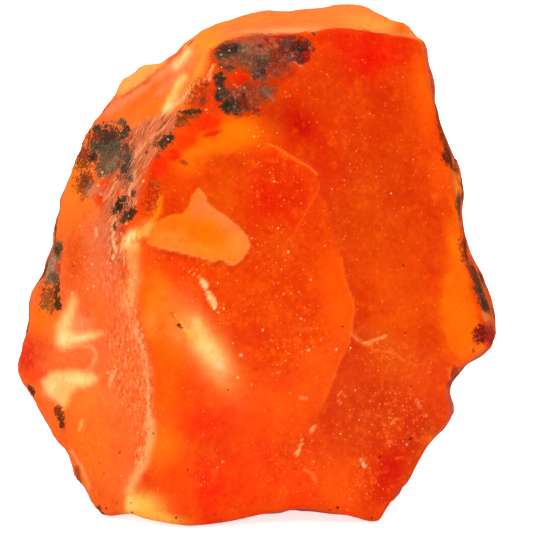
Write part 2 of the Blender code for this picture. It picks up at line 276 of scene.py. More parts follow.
FRONT_CLOUDS = {
    "right panel": (385, 200, 62, 110, 0, (210, 56, 1), 0.95),
    "right panel low": (390, 300, 55, 60, 0, (228, 76, 4), 0.8),
    # Painted shade: red shadows under the top edge
    "red shadow under top edge": (362, 52, 46, 30, 8, (226, 16, 1), 1.0),
    "red shadow core": (384, 54, 16, 10, 20, (234, 2, 1), 0.7),
    "below crown": (322, 88, 26, 30, 0, (212, 56, 1), 0.8),
    "panel red": (382, 100, 20, 16, 0, (206, 40, 1), 0.7),
    "dusk under crown": (276, 112, 18, 18, 0, (190, 36, 1), 0.85),
    "blood spot": (301, 128, 15, 24, -28, (196, 8, 1), 1.0),
    "blood tail": (318, 148, 14, 12, 30, (205, 18, 1), 0.8),
    "blood fade": (322, 168, 20, 24, 0, (226, 40, 1), 0.6),
    "glow under crown": (238, 131, 22, 14, 5, (255, 122, 1), 1.0),
    "glow band": (216, 146, 36, 13, -12, (255, 114, 1), 0.95),
    "glow by ridge": (192, 160, 16, 14, -30, (252, 112, 4), 0.8),
    "dusk in bulb": (228, 164, 24, 10, 0, (212, 60, 1), 0.9),
    "bulb left": (228, 194, 26, 22, 0, (222, 76, 1), 0.8),
    "bulb red": (282, 190, 32, 36, 20, (218, 32, 1), 1.0),
    "bulb deep": (262, 196, 16, 16, 0, (224, 32, 1), 0.7),
    "bulb low": (290, 224, 16, 16, 0, (228, 46, 1), 0.6),
    "right of flake": (275, 250, 28, 24, 0, (220, 68, 2), 0.8),
    "centre": (275, 300, 44, 40, 0, (224, 62, 1), 0.9),
    "inside ledge": (336, 300, 14, 44, -6, (252, 84, 1), 0.85),
    "ledge low": (318, 370, 20, 34, 20, (253, 86, 1), 0.85),
    "left of flake": (176, 203, 10, 12, 0, (224, 60, 1), 0.9),
    "under flake": (172, 272, 26, 12, 12, (244, 66, 2), 0.9),
    "under flake low": (170, 290, 16, 10, 0, (252, 70, 1), 0.8),
    "beside ridge": (158, 300, 16, 30, -14, (255, 118, 10), 0.9),
    "beside ridge low": (154, 326, 10, 17, -14, (255, 140, 46), 0.8),
    "west of glow": (170, 352, 20, 24, -10, (255, 96, 1), 0.9),
    "low west": (166, 400, 18, 30, 0, (254, 98, 2), 0.9),
    "low centre": (222, 408, 50, 26, 0, (254, 62, 1), 0.95),
    "low centre red": (200, 422, 18, 12, -20, (255, 36, 1), 0.9),
    "low east": (282, 412, 30, 30, 0, (254, 84, 1), 0.9),
    "foot west": (164, 452, 18, 28, 0, (255, 114, 6), 0.95),
    "foot lobe": (174, 484, 18, 26, 0, (255, 74, 1), 0.95),
    "foot line": (191, 486, 5, 30, 0, (255, 98, 2), 0.7),
    "foot red": (212, 486, 20, 28, 0, (254, 42, 1), 0.95),
    "foot red core": (216, 492, 10, 10, 0, (254, 26, 1), 0.7),
    "foot middle": (252, 470, 22, 36, 0, (254, 62, 1), 0.9),
    "foot east": (296, 486, 24, 22, 0, (254, 60, 1), 0.9),
    "foot orange": (342, 488, 20, 26, 0, (254, 84, 3), 0.9),
    "lower right": (372, 410, 50, 40, 10, (208, 52, 1), 0.95),
    "lower right pale": (390, 352, 34, 24, 10, (216, 72, 2), 0.8),
    "lower right high": (424, 346, 22, 26, 0, (216, 60, 1), 0.8),
    "lower right red": (390, 472, 16, 28, 18, (212, 14, 1), 1.0),
    "lower right dusk": (418, 436, 20, 16, 8, (200, 34, 1), 0.9),
    "lower right rim": (418, 462, 9, 40, 28, (204, 62, 3), 0.8),
    "rim spot": (429, 438, 6, 6, 0, (236, 96, 10), 0.8),
    "notch side": (438, 410, 10, 20, 0, (214, 62, 3), 0.7),
    "right glow high": (424, 90, 10, 42, -4, (252, 92, 2), 0.85),
    "right glow": (437, 160, 10, 40, -6, (244, 84, 4), 0.6),
    "right streak": (419, 170, 5, 50, 0, (222, 60, 1), 0.5),
    "panel pink": (436, 197, 4, 2.6, 10, (255, 104, 40), 0.5),
    "right smear": (436, 273, 12, 7, 5, (214, 34, 1), 0.9),
    "right smear tail": (435, 296, 6, 14, 0, (226, 50, 1), 0.6),
    "right strip high": (454, 245, 7, 24, -8, (255, 112, 1), 0.95),
    "right strip": (456, 312, 14, 40, -8, (255, 106, 1), 1.0),
    "ear": (474, 353, 12, 7, -30, (255, 96, 4), 0.7),
    "ear tip": (493, 347, 7, 6, -30, (190, 26, 1), 0.95),
    "ear skin glow": (486, 317, 4, 4, 0, (255, 150, 30), 0.7),
    "yellow shoulder": (457, 184, 5, 12, -10, (255, 136, 4), 0.95),
    # Painted light: a yellow glow of light shining through the foot
    "foot glow": (142, 506, 20, 13, 12, (255, 190, 78), 1.0),
    "foot glow core": (130, 504, 6, 7, 0, (255, 208, 110), 0.8),
    "foot glow east": (160, 518, 22, 6, 8, (255, 180, 66), 0.9),
}
LEFT_CLOUDS = {
    "upper salmon": (99, 228, 26, 36, 0, (222, 104, 66), 1.0),
    "salmon below": (104, 266, 20, 24, 0, (226, 98, 52), 0.9),
    "middle": (112, 302, 24, 24, 0, (240, 100, 44), 0.9),
    "west orange": (78, 212, 22, 30, 8, (242, 108, 18), 0.9),
    "west blotch": (76, 258, 10, 27, 0, (218, 66, 1), 1.0),
    "west below blotch": (82, 292, 12, 14, 0, (236, 92, 20), 0.8),
    "inner": (96, 316, 18, 15, 0, (244, 92, 8), 0.85),
    "silhouette orange": (42, 322, 16, 16, 0, (255, 108, 1), 0.95),
    "silhouette red": (30, 356, 15, 22, 8, (218, 38, 1), 1.0),
    "silhouette bright": (38, 380, 14, 8, 0, (254, 54, 1), 0.9),
    "silhouette amber": (36, 400, 9, 16, -20, (244, 88, 2), 0.9),
    "arm shade": (80, 325, 12, 7, 0, (255, 134, 74), 0.9),
    "between glows": (80, 356, 24, 8, 0, (254, 104, 42), 0.95),
    "under glow": (92, 402, 24, 14, 0, (255, 122, 46), 0.9),
    "lower": (88, 445, 34, 40, 0, (254, 108, 12), 0.95),
    "lower edge": (64, 441, 11, 24, -20, (232, 86, 10), 0.85),
    "lower right": (124, 452, 14, 22, 0, (250, 88, 20), 0.7),
    "foot": (104, 500, 22, 16, 0, (246, 92, 10), 0.8),
}
# The upper slope: its own colour, with a painted sheen in its pale salmon and cream parts
SLOPE_CLOUDS = {
    "all": (150, 100, 90, 60, -40, (250, 112, 36), 0.9),
    "high": (198, 42, 16, 10, -30, (255, 150, 58), 0.9),
    "high orange": (202, 47, 9, 4, -30, (255, 138, 24), 0.8),
    "by crown": (199, 66, 8, 10, -30, (255, 140, 48), 0.8),
    "red by crown": (206, 68, 5, 8, -20, (250, 92, 14), 0.7),
    "west": (78, 188, 14, 24, 10, (255, 118, 10), 0.9),
    "shoulder salmon": (100, 118, 18, 8, -38, (240, 104, 50), 0.8),
}
# Streaks of the upper slope; the pale salmon and cream ones are partly a painted sheen
SLOPE_STREAKS = {
    "salmon": (
        [(178, 60), (168, 70), (156, 79), (146, 88), (132, 96), (108, 110)], 4.5, (255, 138, 88), 0.85),
    "brown field": ([(156, 86), (146, 96), (132, 108)], 6.0, (238, 98, 20), 0.85),
    "amber foot": ([(168, 98), (156, 108), (146, 116)], 5.0, (255, 110, 2), 0.9),
    "mid salmon": ([(190, 62), (178, 74), (168, 84), (160, 94)], 3.6, (252, 126, 74), 0.8),
    "amber by crown": ([(206, 52), (200, 70), (194, 82), (186, 92)], 3.4, (255, 146, 52), 0.8),
    "high cream": ([(188, 52), (182, 60), (177, 66)], 4.2, (255, 200, 130), 1.0),
    "cream run": ([(184, 78), (178, 85), (175, 94), (167, 108)], 4.2, (255, 196, 104), 1.0),
    "cream foot": ([(170, 105), (165, 110)], 2.6, (255, 220, 146), 0.9),
    "pale edge": ([(190, 92), (180, 101), (165, 113), (148, 129)], 2.2, (255, 180, 118), 0.85),
    # Painted shadow: a dark line under the amber lump
    "lump shadow": (
        [(182, 50), (174, 58), (166, 64.5), (156.5, 71), (147, 81), (139, 86), (130, 92), (122, 97)],
        1.9, (224, 92, 40), 0.9),
    "lump shadow core": ([(150, 78), (139, 86), (128, 94)], 1.2, (196, 84, 44), 0.7),
}
LUMP = [
    (118, 96), (119, 84), (124, 76), (137, 70), (149, 61), (157, 57), (168, 56), (167, 63), (156, 70),
    (147, 79), (139, 84), (130, 91),
]
# The top band: its own colour, with a painted sheen in its paler, pinker parts
TOP_TONE_AND_SHEEN = {
    "all": (320, 24, 130, 26, 0, (255, 124, 50), 1.0),
    "west amber": (206, 44, 12, 16, 30, (255, 150, 26), 0.8),
    "west": (226, 26, 24, 7, -12, (255, 128, 44), 0.6),
    "pale streak": (290, 32, 44, 4, 0, (255, 164, 108), 0.7),
    "red streak": (262, 26, 40, 3, -4, (252, 112, 50), 0.6),
    "east amber": (372, 26, 26, 7, 10, (255, 160, 66), 0.8),
    "east rim": (402, 30, 7, 8, 50, (244, 96, 10), 0.9),
    "east corner": (422, 42, 12, 3, 0, (255, 112, 10), 0.8),
}

# Stains, painted glows and highlights, patches and streaks, which end with their colour and strength too

RIDGE_STAINS = {
    "band east": (206, 124, 17, 8, -12, (254, 46, 1), 1.0),
    "band east deep": (212, 134, 11, 3, -18, (228, 4, 1), 0.9),
    "band middle": (186, 140, 14, 9, -40, (250, 50, 1), 0.9),
    "band crook": (174, 155, 8, 6, 30, (228, 16, 1), 0.95),
    "band crook end": (184, 162, 5, 2.5, 20, (160, 18, 2), 0.9),
    "band west": (160, 166, 8, 11, 30, (246, 36, 1), 0.95),
    "band west deep": (153, 177, 4, 7, 10, (214, 20, 1), 0.8),
    "band foot": (148, 196, 6, 20, 12, (222, 46, 1), 0.95),
    "stripe dot": (158.5, 196.7, 2, 2, 0, (228, 60, 1), 0.8),
    "brown flecks": (165, 224, 8, 5, 0, (224, 84, 1), 0.7),
    "red tick": (123.5, 274, 2, 5, 0, (206, 62, 18), 0.9),
    "orange fleck": (118.5, 193.5, 4.5, 3.5, 0, (238, 82, 16), 1.0),
    "orange fleck west": (90, 177, 4, 3.5, 0, (244, 84, 10), 0.9),
    "brown by ridge": (205, 88, 5, 6, 0, (200, 66, 8), 0.7),
    "brown by ridge low": (203, 100, 5, 6, 0, (186, 54, 6), 0.7),
}
# Painted light: pale glows of light in the clear stone, laid into its colour
PAINTED_GLOWS = {
    "left haze": (174, 324, 13, 18, -24, (255, 124, 28), 0.7),
    "glow halo": (205, 350, 17, 42, -34, (255, 116, 34), 0.9),
    "glow foot": (214, 377, 13, 7, 10, (255, 118, 54), 0.75),
    "glow": (206, 346, 13, 36, -32, (255, 186, 98), 1.0),
    "glow head": (199, 324, 6, 9, -20, (255, 194, 110), 0.9),
    "glow core": (209, 351, 9, 21, -32, (255, 208, 130), 0.9),
    "glow tip": (218, 366, 4.5, 6, -30, (255, 196, 136), 1.0),
    "glow yellow": (191, 335, 3.5, 5, -30, (255, 190, 52), 0.9),
    "left of hole": (176, 334, 6, 8, -30, (255, 140, 66), 0.8),
}
# Painted highlights: pale pools of reflected light on the left face, as outlined areas and soft pools
CREAM_HIGHLIGHT_SHAPES = {
    "upper": (
        [(57, 324), (67, 309), (74, 294), (77, 302), (73, 316), (69, 329), (78, 334), (90, 332), (102, 333),
               (93, 338), (79, 342), (67, 348), (57, 343)], 6.0, (255, 186, 106), 0.90),
    "lower": (
        [(42, 382), (52, 372), (70, 370), (92, 373), (98, 380), (90, 386), (79, 388), (72, 394), (68, 403),
               (64, 409), (57, 403), (50, 396)], 4.6, (255, 190, 108), 0.92),
}
CREAM_HIGHLIGHT_POOLS = {
    "upper pool": (64, 338, 6, 8, 6, (255, 228, 152), 0.9),
    "upper stem": (69, 318, 5, 12, 20, (255, 212, 132), 0.6),
    "arm": (80, 338, 14, 3.6, -6, (255, 222, 152), 0.8),
    "in the crook": (84, 322, 9, 8, 0, (255, 138, 84), 0.6),
    "lower run": (76, 380, 15, 4.5, -4, (255, 224, 146), 0.85),
    "lower pool": (51, 388, 6, 7, 30, (255, 220, 142), 0.85),
}
RIDGE_STREAKS = {
    "amber stripe": ([(160, 198), (158, 211), (152, 222), (144, 230)], 3.0, (255, 140, 8), 0.85),
    "yolk": ([(149, 229), (138, 234), (128, 242), (134, 248)], 7.0, (255, 170, 62), 0.90),
    "yolk core": ([(133, 234), (127, 240), (127, 246)], 3.6, (255, 230, 154), 0.95),
    "granular": ([(129, 250), (134, 263), (134, 278), (131, 292), (129, 304)], 6.4, (255, 160, 82), 0.88),
    "ridge": (
        [(129, 304), (136, 331), (143, 349), (147, 368), (149, 391), (149, 425)], 4.2, (255, 140, 78), 0.75),
    "ridge foot": ([(151, 424), (150, 442), (144, 462), (135, 478), (130, 490)], 4.8, (255, 166, 94), 0.95),
    "arc": ([(62, 350), (78, 345), (92, 347), (97, 354), (94, 364), (88, 370)], 2.0, (255, 156, 96), 0.7),
}
RIGHT_STRIP = [
    (449, 196), (453, 212), (456, 235), (455, 262), (445, 280), (442, 300), (444, 330), (451, 350),
    (462, 360), (484, 348), (478, 320), (472, 300), (468, 280), (464, 262), (462, 240), (458, 212),
]
RIDGE_GRAIN = [
    (114, 226), (126, 250), (131, 276), (130, 300), (138, 331), (145, 352), (148, 380), (148, 425),
    (140, 462),
]

# Fine lines: points, half width, colour, strength

FINE_LINES = {
    # Painted highlights: arc edge highlight and the two ledge highlights are bright lines along the steps
    "arc edge highlight": (
        [(269, 144), (276, 147), (286, 154), (298, 161), (308, 166), (316, 174)], 0.9, (255, 122, 26), 0.9),
    "arc curl": ([(319, 181), (318, 191), (312, 200), (305, 214), (295, 233)], 1.0, (250, 92, 12), 0.5),
    "ledge highlight": (
        [(341, 258), (344, 277), (353, 303), (354, 311), (351, 331), (349, 343)], 1.2, (255, 112, 14), 0.6),
    "ledge low highlight": ([(349, 343), (340, 360), (330, 388), (321, 407)], 1.0, (255, 96, 8), 0.5),
    "ledge branch": ([(351, 334), (360, 341), (372, 346)], 1.0, (255, 142, 60), 0.8),
    "panel line": ([(364, 344), (376, 339), (386, 336)], 1.1, (255, 150, 80), 0.9),
    "panel line low": ([(372, 350), (392, 352), (404, 360)], 1.0, (252, 120, 40), 0.6),
    "ridge low": ([(136, 331), (143, 349), (147, 368), (149, 391), (150, 425)], 0.9, (255, 176, 120), 0.6),
    "ridge pale thread": ([(138, 151), (131, 165), (135, 177), (129, 195)], 1.2, (238, 158, 108), 0.9),
    "ridge pale thread low": (
        [(129, 203), (119, 212), (113, 224), (114, 242), (117, 252)], 1.2, (240, 164, 110), 0.9),
    "fibre a": ([(103, 177), (112, 165), (122, 154)], 1.8, (204, 150, 104), 0.9),
    "fibre b": ([(107, 168), (115, 158)], 1.0, (226, 196, 140), 0.8),
    "fibre c": ([(140, 150), (151, 137), (163, 128)], 1.6, (246, 140, 84), 0.7),
    "fibre d": ([(147, 160), (158, 147)], 1.2, (240, 128, 80), 0.6),
    "fibre e": ([(120, 180), (112, 192), (104, 200)], 1.4, (238, 150, 104), 0.7),
    "thread by crown": ([(213.5, 65), (209, 76), (211, 79)], 1.0, (254, 184, 112), 0.9),
    "thread by crown low": ([(203, 79.5), (210.5, 79)], 0.9, (252, 168, 100), 0.8),
    "left rim line": ([(71, 450), (82, 467), (90, 488)], 1.5, (250, 142, 84), 0.8),
    "left high fleck": ([(96, 229), (97, 236)], 1.0, (255, 172, 130), 0.9),
    "low streak": ([(300, 397.5), (307, 398.5)], 1.2, (255, 140, 68), 0.9),
    "hook": ([(304, 469.5), (313, 474), (315.5, 482)], 1.4, (255, 124, 58), 0.8),
    "glow thread": ([(175, 316), (185, 329), (188, 332)], 0.9, (255, 190, 70), 0.9),
    "right diagonal": ([(417, 400), (420, 407)], 0.9, (255, 146, 90), 0.9),
    "right diagonal low": ([(395, 419), (391, 424)], 0.8, (252, 136, 74), 0.8),
    "ear pale": ([(449, 368), (451, 380)], 1.0, (255, 140, 60), 0.6),
    "ring low": ([(387, 443), (391, 441), (392, 444)], 0.8, (252, 124, 60), 0.7),
    "crown pale edge": ([(283.5, 54.5), (293, 61), (302.5, 66.5)], 1.0, (220, 108, 64), 0.95),
}
DARK_LINES = {
    "hole line": ([(170, 312), (178, 321)], 0.9, (196, 78, 10), 0.8),
    # Painted shadow: the dark line under the ear
    "ear shadow line": ([(494, 349), (478, 359), (462, 371), (448, 385)], 2.2, (112, 34, 22), 0.8),
    "right top rim": ([(429, 44), (432, 72)], 3.4, (138, 40, 8), 0.9),
    "right rim": ([(433, 80), (438, 112), (442, 138), (452, 156)], 2.8, (110, 36, 12), 0.9),
    # Painted shade: the dark line and notch under the flake's raised lower edge
    "under flake": (
        [(246, 257), (240, 264), (232, 269), (222, 264), (213, 265), (198, 260), (174, 254), (157, 250)],
        2.0, (206, 54, 2), 0.65),
    "flake notch": ([(217, 262), (222, 262)], 1.6, (178, 46, 1), 0.8),
    "left slot": ([(77, 468), (80, 482)], 2.4, (150, 58, 8), 0.9),
}

# Weathered skin: x, y, half width, half height, turn, colour, how much of the stone it hides

CROWN_SKIN = {
    "ground west": (236, 54, 22, 14, -8, (128, 70, 44), 0.92),
    "ground middle": (260, 58, 18, 22, 0, (116, 66, 46), 0.94),
    "ground east": (278, 56, 14, 18, 0, (140, 50, 28), 0.90),
    "ground low": (244, 98, 18, 16, 10, (122, 50, 26), 0.90),
    "ground low east": (264, 92, 12, 12, 0, (146, 54, 26), 0.80),
    "tan": (247, 47, 7, 6, 0, (142, 98, 68), 0.90),
    "rose": (261, 46, 8, 7, 0, (160, 84, 60), 0.90),
    "rose ring": (260.5, 45.8, 2.6, 2.6, 0, (112, 44, 26), 0.95),
    "west dark": (228, 49, 11, 5, -8, GREEN_BLACK, 1.0),
    "west dark low": (222, 53, 6, 5, -20, OLIVE, 1.0),
    "slate": (263, 59, 6, 4, 0, (94, 76, 60), 0.95),
    "mauve": (262, 70, 9, 9, 0, (98, 60, 48), 0.95),
    "mauve dark": (257, 78, 4.5, 3.5, 0, (78, 54, 46), 0.95),
    "mauve deep": (264, 71, 3, 3, 0, (82, 38, 34), 0.95),
    "brick": (275, 71, 6, 7, 0, (150, 54, 30), 0.88),
    "brick dark": (276, 60, 5, 4, 0, (132, 44, 20), 0.85),
    "tan strip": (246, 64, 6, 3.5, 0, (122, 82, 52), 0.95),
    "rose strip": (232, 63, 8, 2.2, 0, (164, 72, 44), 0.90),
    "dark strip": (231, 68.5, 6, 2.4, 5, OLIVE, 1.0),
    "dark dot": (222, 67, 2.5, 2.5, 0, UMBER, 0.95),
    "wedge": (298, 47, 15, 10, 12, (104, 30, 20), 0.97),
    "wedge top": (290, 38, 14, 2.5, 3, (140, 34, 12), 0.90),
    "wedge tip": (302, 59, 6, 6, 30, (82, 42, 38), 0.97),
    "wedge dark": (300, 50, 5, 4, 0, (62, 24, 22), 1.0),
    "wedge mauve": (286, 43, 4, 4, 0, (96, 58, 50), 0.95),
    "wedge red": (307, 57, 3.5, 4.5, 20, (176, 10, 1), 0.95),
    "wedge foot": (292, 57, 5, 4, 30, (106, 54, 48), 0.92),
    "maroon streak": (268, 40, 2.2, 6.5, -38, (168, 32, 4), 0.95),
    "rose streak": (274, 42, 2.0, 5.0, -40, (190, 96, 66), 0.92),
    "crescent high": (219.5, 80, 5, 8, 8, GREEN_BLACK, 1.0),
    "crescent": (220, 93, 6, 9, -10, GREEN_BLACK, 1.0),
    "crescent low": (229, 106, 8, 8, 25, GREEN_BLACK, 1.0),
    "crescent foot": (235, 112, 5, 3, 10, OLIVE, 0.95),
    "crescent in": (226, 93, 4, 5, -20, (76, 58, 42), 0.95),
    "rose in crescent": (236, 94, 4, 3, 20, (160, 78, 52), 0.92),
    "rose bar": (236.5, 86, 6, 1.8, 22, (226, 80, 44), 0.90),
    "rose pillar": (250, 98, 2.2, 6, -12, (176, 72, 44), 0.90),
    "umber pillar": (243, 98, 2.5, 5, 0, (110, 32, 12), 0.92),
    "umber low": (246, 108, 4, 4, 0, (120, 44, 22), 0.85),
    "green fleck": (266.5, 91.5, 4, 4, 0, (108, 88, 66), 0.95),
    "rose fleck": (271.5, 97.5, 2.6, 3.4, -20, (180, 84, 54), 0.90),
    "ring": (258, 114, 2.5, 2.5, 0, (150, 52, 4), 0.80),
    "spot under": (257, 110, 3, 2, 0, (142, 24, 4), 0.80),
    "corner dot": (313.9, 33.6, 2.2, 2.0, 0, (112, 30, 4), 0.95),
}
SHOULDER_SKIN = {
    "ground a": (106, 141, 21, 17, -12, (70, 48, 36), 0.90),
    "ground b": (110, 161, 19, 13, -40, (92, 76, 56), 0.90),
    "ground c": (127, 164, 8, 24, 4, (104, 66, 46), 0.70),
    "ground d": (123, 208, 13, 12, -35, (104, 60, 34), 0.60),
    "ground e": (86, 185, 12, 15, 0, (126, 50, 16), 0.78),
    "ground f": (85, 158, 10, 17, 14, (116, 46, 14), 0.74),
    "ground streaks": (186, 118, 18, 7, -14, (140, 54, 12), 0.64),
    "ground ridge": (163, 142, 14, 10, -38, (132, 58, 24), 0.64),
    "speckled by crown": (198, 94, 17, 12, -50, (172, 50, 6), 0.66),
    "band specks": (152, 196, 9, 22, 14, (156, 44, 6), 0.56),
    "dark a": (97, 130, 5, 6, 0, OLIVE, 1.0),
    "dark a red": (95, 137, 3.5, 3.5, 0, (140, 20, 4), 0.95),
    "grey b": (122, 123, 5, 4, 0, (96, 78, 56), 0.95),
    "dark b": (127, 129, 4, 4.5, 0, (44, 24, 14), 1.0),
    "dark b low": (124, 135, 5, 4.5, -20, (60, 52, 40), 1.0),
    "main a": (99, 147, 9, 7, 0, (64, 62, 48), 1.0),
    "main b": (94, 157, 5.5, 4, 0, (34, 18, 10), 1.0),
    "main c": (110, 141, 6, 6, 0, (46, 42, 30), 1.0),
    "main d": (115, 147, 6.5, 5, -15, (72, 74, 58), 1.0),
    "main e": (106, 152, 7, 5, 0, (74, 66, 50), 1.0),
    "fibre grey": (106, 163, 9, 8, -40, (92, 76, 56), 0.92),
    "fibre tan": (112, 163, 7, 3, -42, (132, 100, 68), 0.92),
    "fibre low": (100, 175, 4, 4, -40, (92, 76, 56), 0.92),
    "column a": (126, 148, 4.5, 4.5, 0, (104, 52, 40), 0.92),
    "column b": (127, 158, 4.5, 6, 0, (78, 70, 54), 0.98),
    "column c": (125, 169, 4.5, 6, 10, (68, 58, 44), 1.0),
    "column d": (130, 179, 4, 5, 0, (96, 72, 54), 0.92),
    "column brown": (120, 178, 4, 4, 0, (150, 60, 30), 0.80),
    "column foot": (133, 193, 2.6, 5, 10, (96, 50, 26), 0.90),
    "dark e": (122, 199.5, 5, 3.5, -30, OLIVE, 1.0),
    "dark f": (118.5, 206, 4.5, 5, 0, (34, 20, 8), 1.0),
    "dark g": (114.5, 211, 2.6, 3.5, 0, UMBER, 0.9),
    "dark h": (129.5, 214.5, 8.5, 4.5, -38, (56, 40, 22), 1.0),
    "dark i": (122, 220, 4, 2.6, -30, (66, 44, 22), 0.95),
    "dark j": (114.5, 226, 1.8, 5, 0, (92, 62, 34), 0.9),
    "west a": (85, 181, 3, 2.6, 0, (66, 40, 18), 0.92),
    "west b": (81, 187, 3, 4.5, 0, (146, 50, 10), 0.85),
    "west c": (89, 187, 3.5, 4, 0, (82, 62, 40), 0.92),
    "west d": (83, 198, 2.4, 3.4, 0, (160, 66, 20), 0.75),
    "tan field": (100, 191, 12, 7, -10, (206, 112, 78), 0.55),
    "streak a": (192, 112, 12.5, 2.5, -2, (54, 48, 22), 1.0),
    "streak b": (183, 119, 6, 2.6, -12, (128, 58, 18), 0.88),
    "streak c": (178, 126, 5, 3, -20, (140, 60, 20), 0.80),
    "brown line": (161.5, 126, 6.5, 1.3, -45, (134, 74, 34), 0.92),
    "spot a": (161.5, 144, 4, 3.5, -20, (62, 50, 28), 1.0),
    "spot b": (168.5, 138.5, 5, 4.5, -20, (48, 36, 24), 1.0),
    "spot c": (157, 157, 3.5, 2.4, -30, (162, 56, 24), 0.80),
    "spot d": (147.3, 151.8, 1.8, 1.6, 0, (132, 24, 14), 0.92),
    "spot e": (205, 84, 3, 3, 0, (146, 44, 10), 0.85),
    "spot f": (204, 101, 3.5, 3, 0, (128, 40, 10), 0.85),
    "yolk dots": (122, 230, 3, 4, 0, (190, 70, 20), 0.80),
}
EDGE_SKIN = {
    "column": (52, 264, 8, 21, 10, (118, 84, 58), 0.90),
    "ring ground": (50, 299, 11, 15, 0, (118, 54, 14), 0.72),
    "high a": (58, 246, 4.5, 6, -30, (92, 70, 44), 1.0),
    "high b": (57, 252, 4, 3, 0, (58, 40, 22), 1.0),
    "tan slope": (48, 264, 6, 11, 12, (166, 122, 92), 0.97),
    "red fleck": (59, 268, 3.5, 6, 0, (196, 66, 34), 0.85),
    "grey low": (54, 279, 6, 6, 0, (98, 76, 52), 1.0),
    "grey low west": (47, 282, 5, 3, 0, (126, 96, 66), 0.97),
    "ring east": (57, 291, 3, 8, 5, (66, 46, 18), 1.0),
    "ring east low": (58, 304, 3.4, 7, -5, (58, 42, 14), 1.0),
    "ring middle": (46, 297, 3.5, 4, 0, (132, 76, 34), 0.80),
    "ring low": (45, 306, 6, 4, 10, (140, 80, 24), 0.85),
    "west low": (31, 391, 4, 5.5, -15, (84, 40, 14), 0.97),
    "west lower": (60, 414, 4.5, 10, -15, (136, 46, 6), 0.92),
    "west lower dark": (62, 424, 3, 6, -15, (96, 34, 8), 0.9),
    "foot west": (99, 509, 4, 4, 0, (128, 50, 8), 0.85),
    "foot west dark": (103.5, 513.5, 2.2, 2.0, 0, (84, 26, 4), 0.92),
    "right high": (447, 157, 5, 9, -16, (118, 20, 4), 1.0),
    "right high rim": (453, 163, 3.5, 12, -22, (92, 44, 12), 0.97),
    "right a": (461, 207, 4.5, 13, -8, (104, 66, 14), 1.0),
    "right b": (468, 228, 6.5, 13, -12, (112, 62, 16), 1.0),
    "right c": (471, 250, 11, 15, -12, (134, 46, 4), 1.0),
    "right c dark": (466, 247, 3.0, 4.0, 0, (108, 20, 1), 0.97),
    "right d": (477, 270, 8.5, 14, -12, (112, 46, 10), 1.0),
    "right e": (482, 288, 8, 13, -10, (84, 50, 22), 1.0),
    "right f": (486, 303, 7, 11, -22, (74, 42, 18), 1.0),
    "ear stain": (482, 334, 9, 10, 20, (128, 10, 1), 0.97),
    "ear stain east": (492, 336, 5, 13, 0, (164, 12, 1), 0.94),
    "ear fleck": (473, 351, 1.5, 2, 0, (132, 60, 8), 0.9),
    "ear foot": (454, 373, 5, 7, 30, (156, 52, 4), 0.75),
}
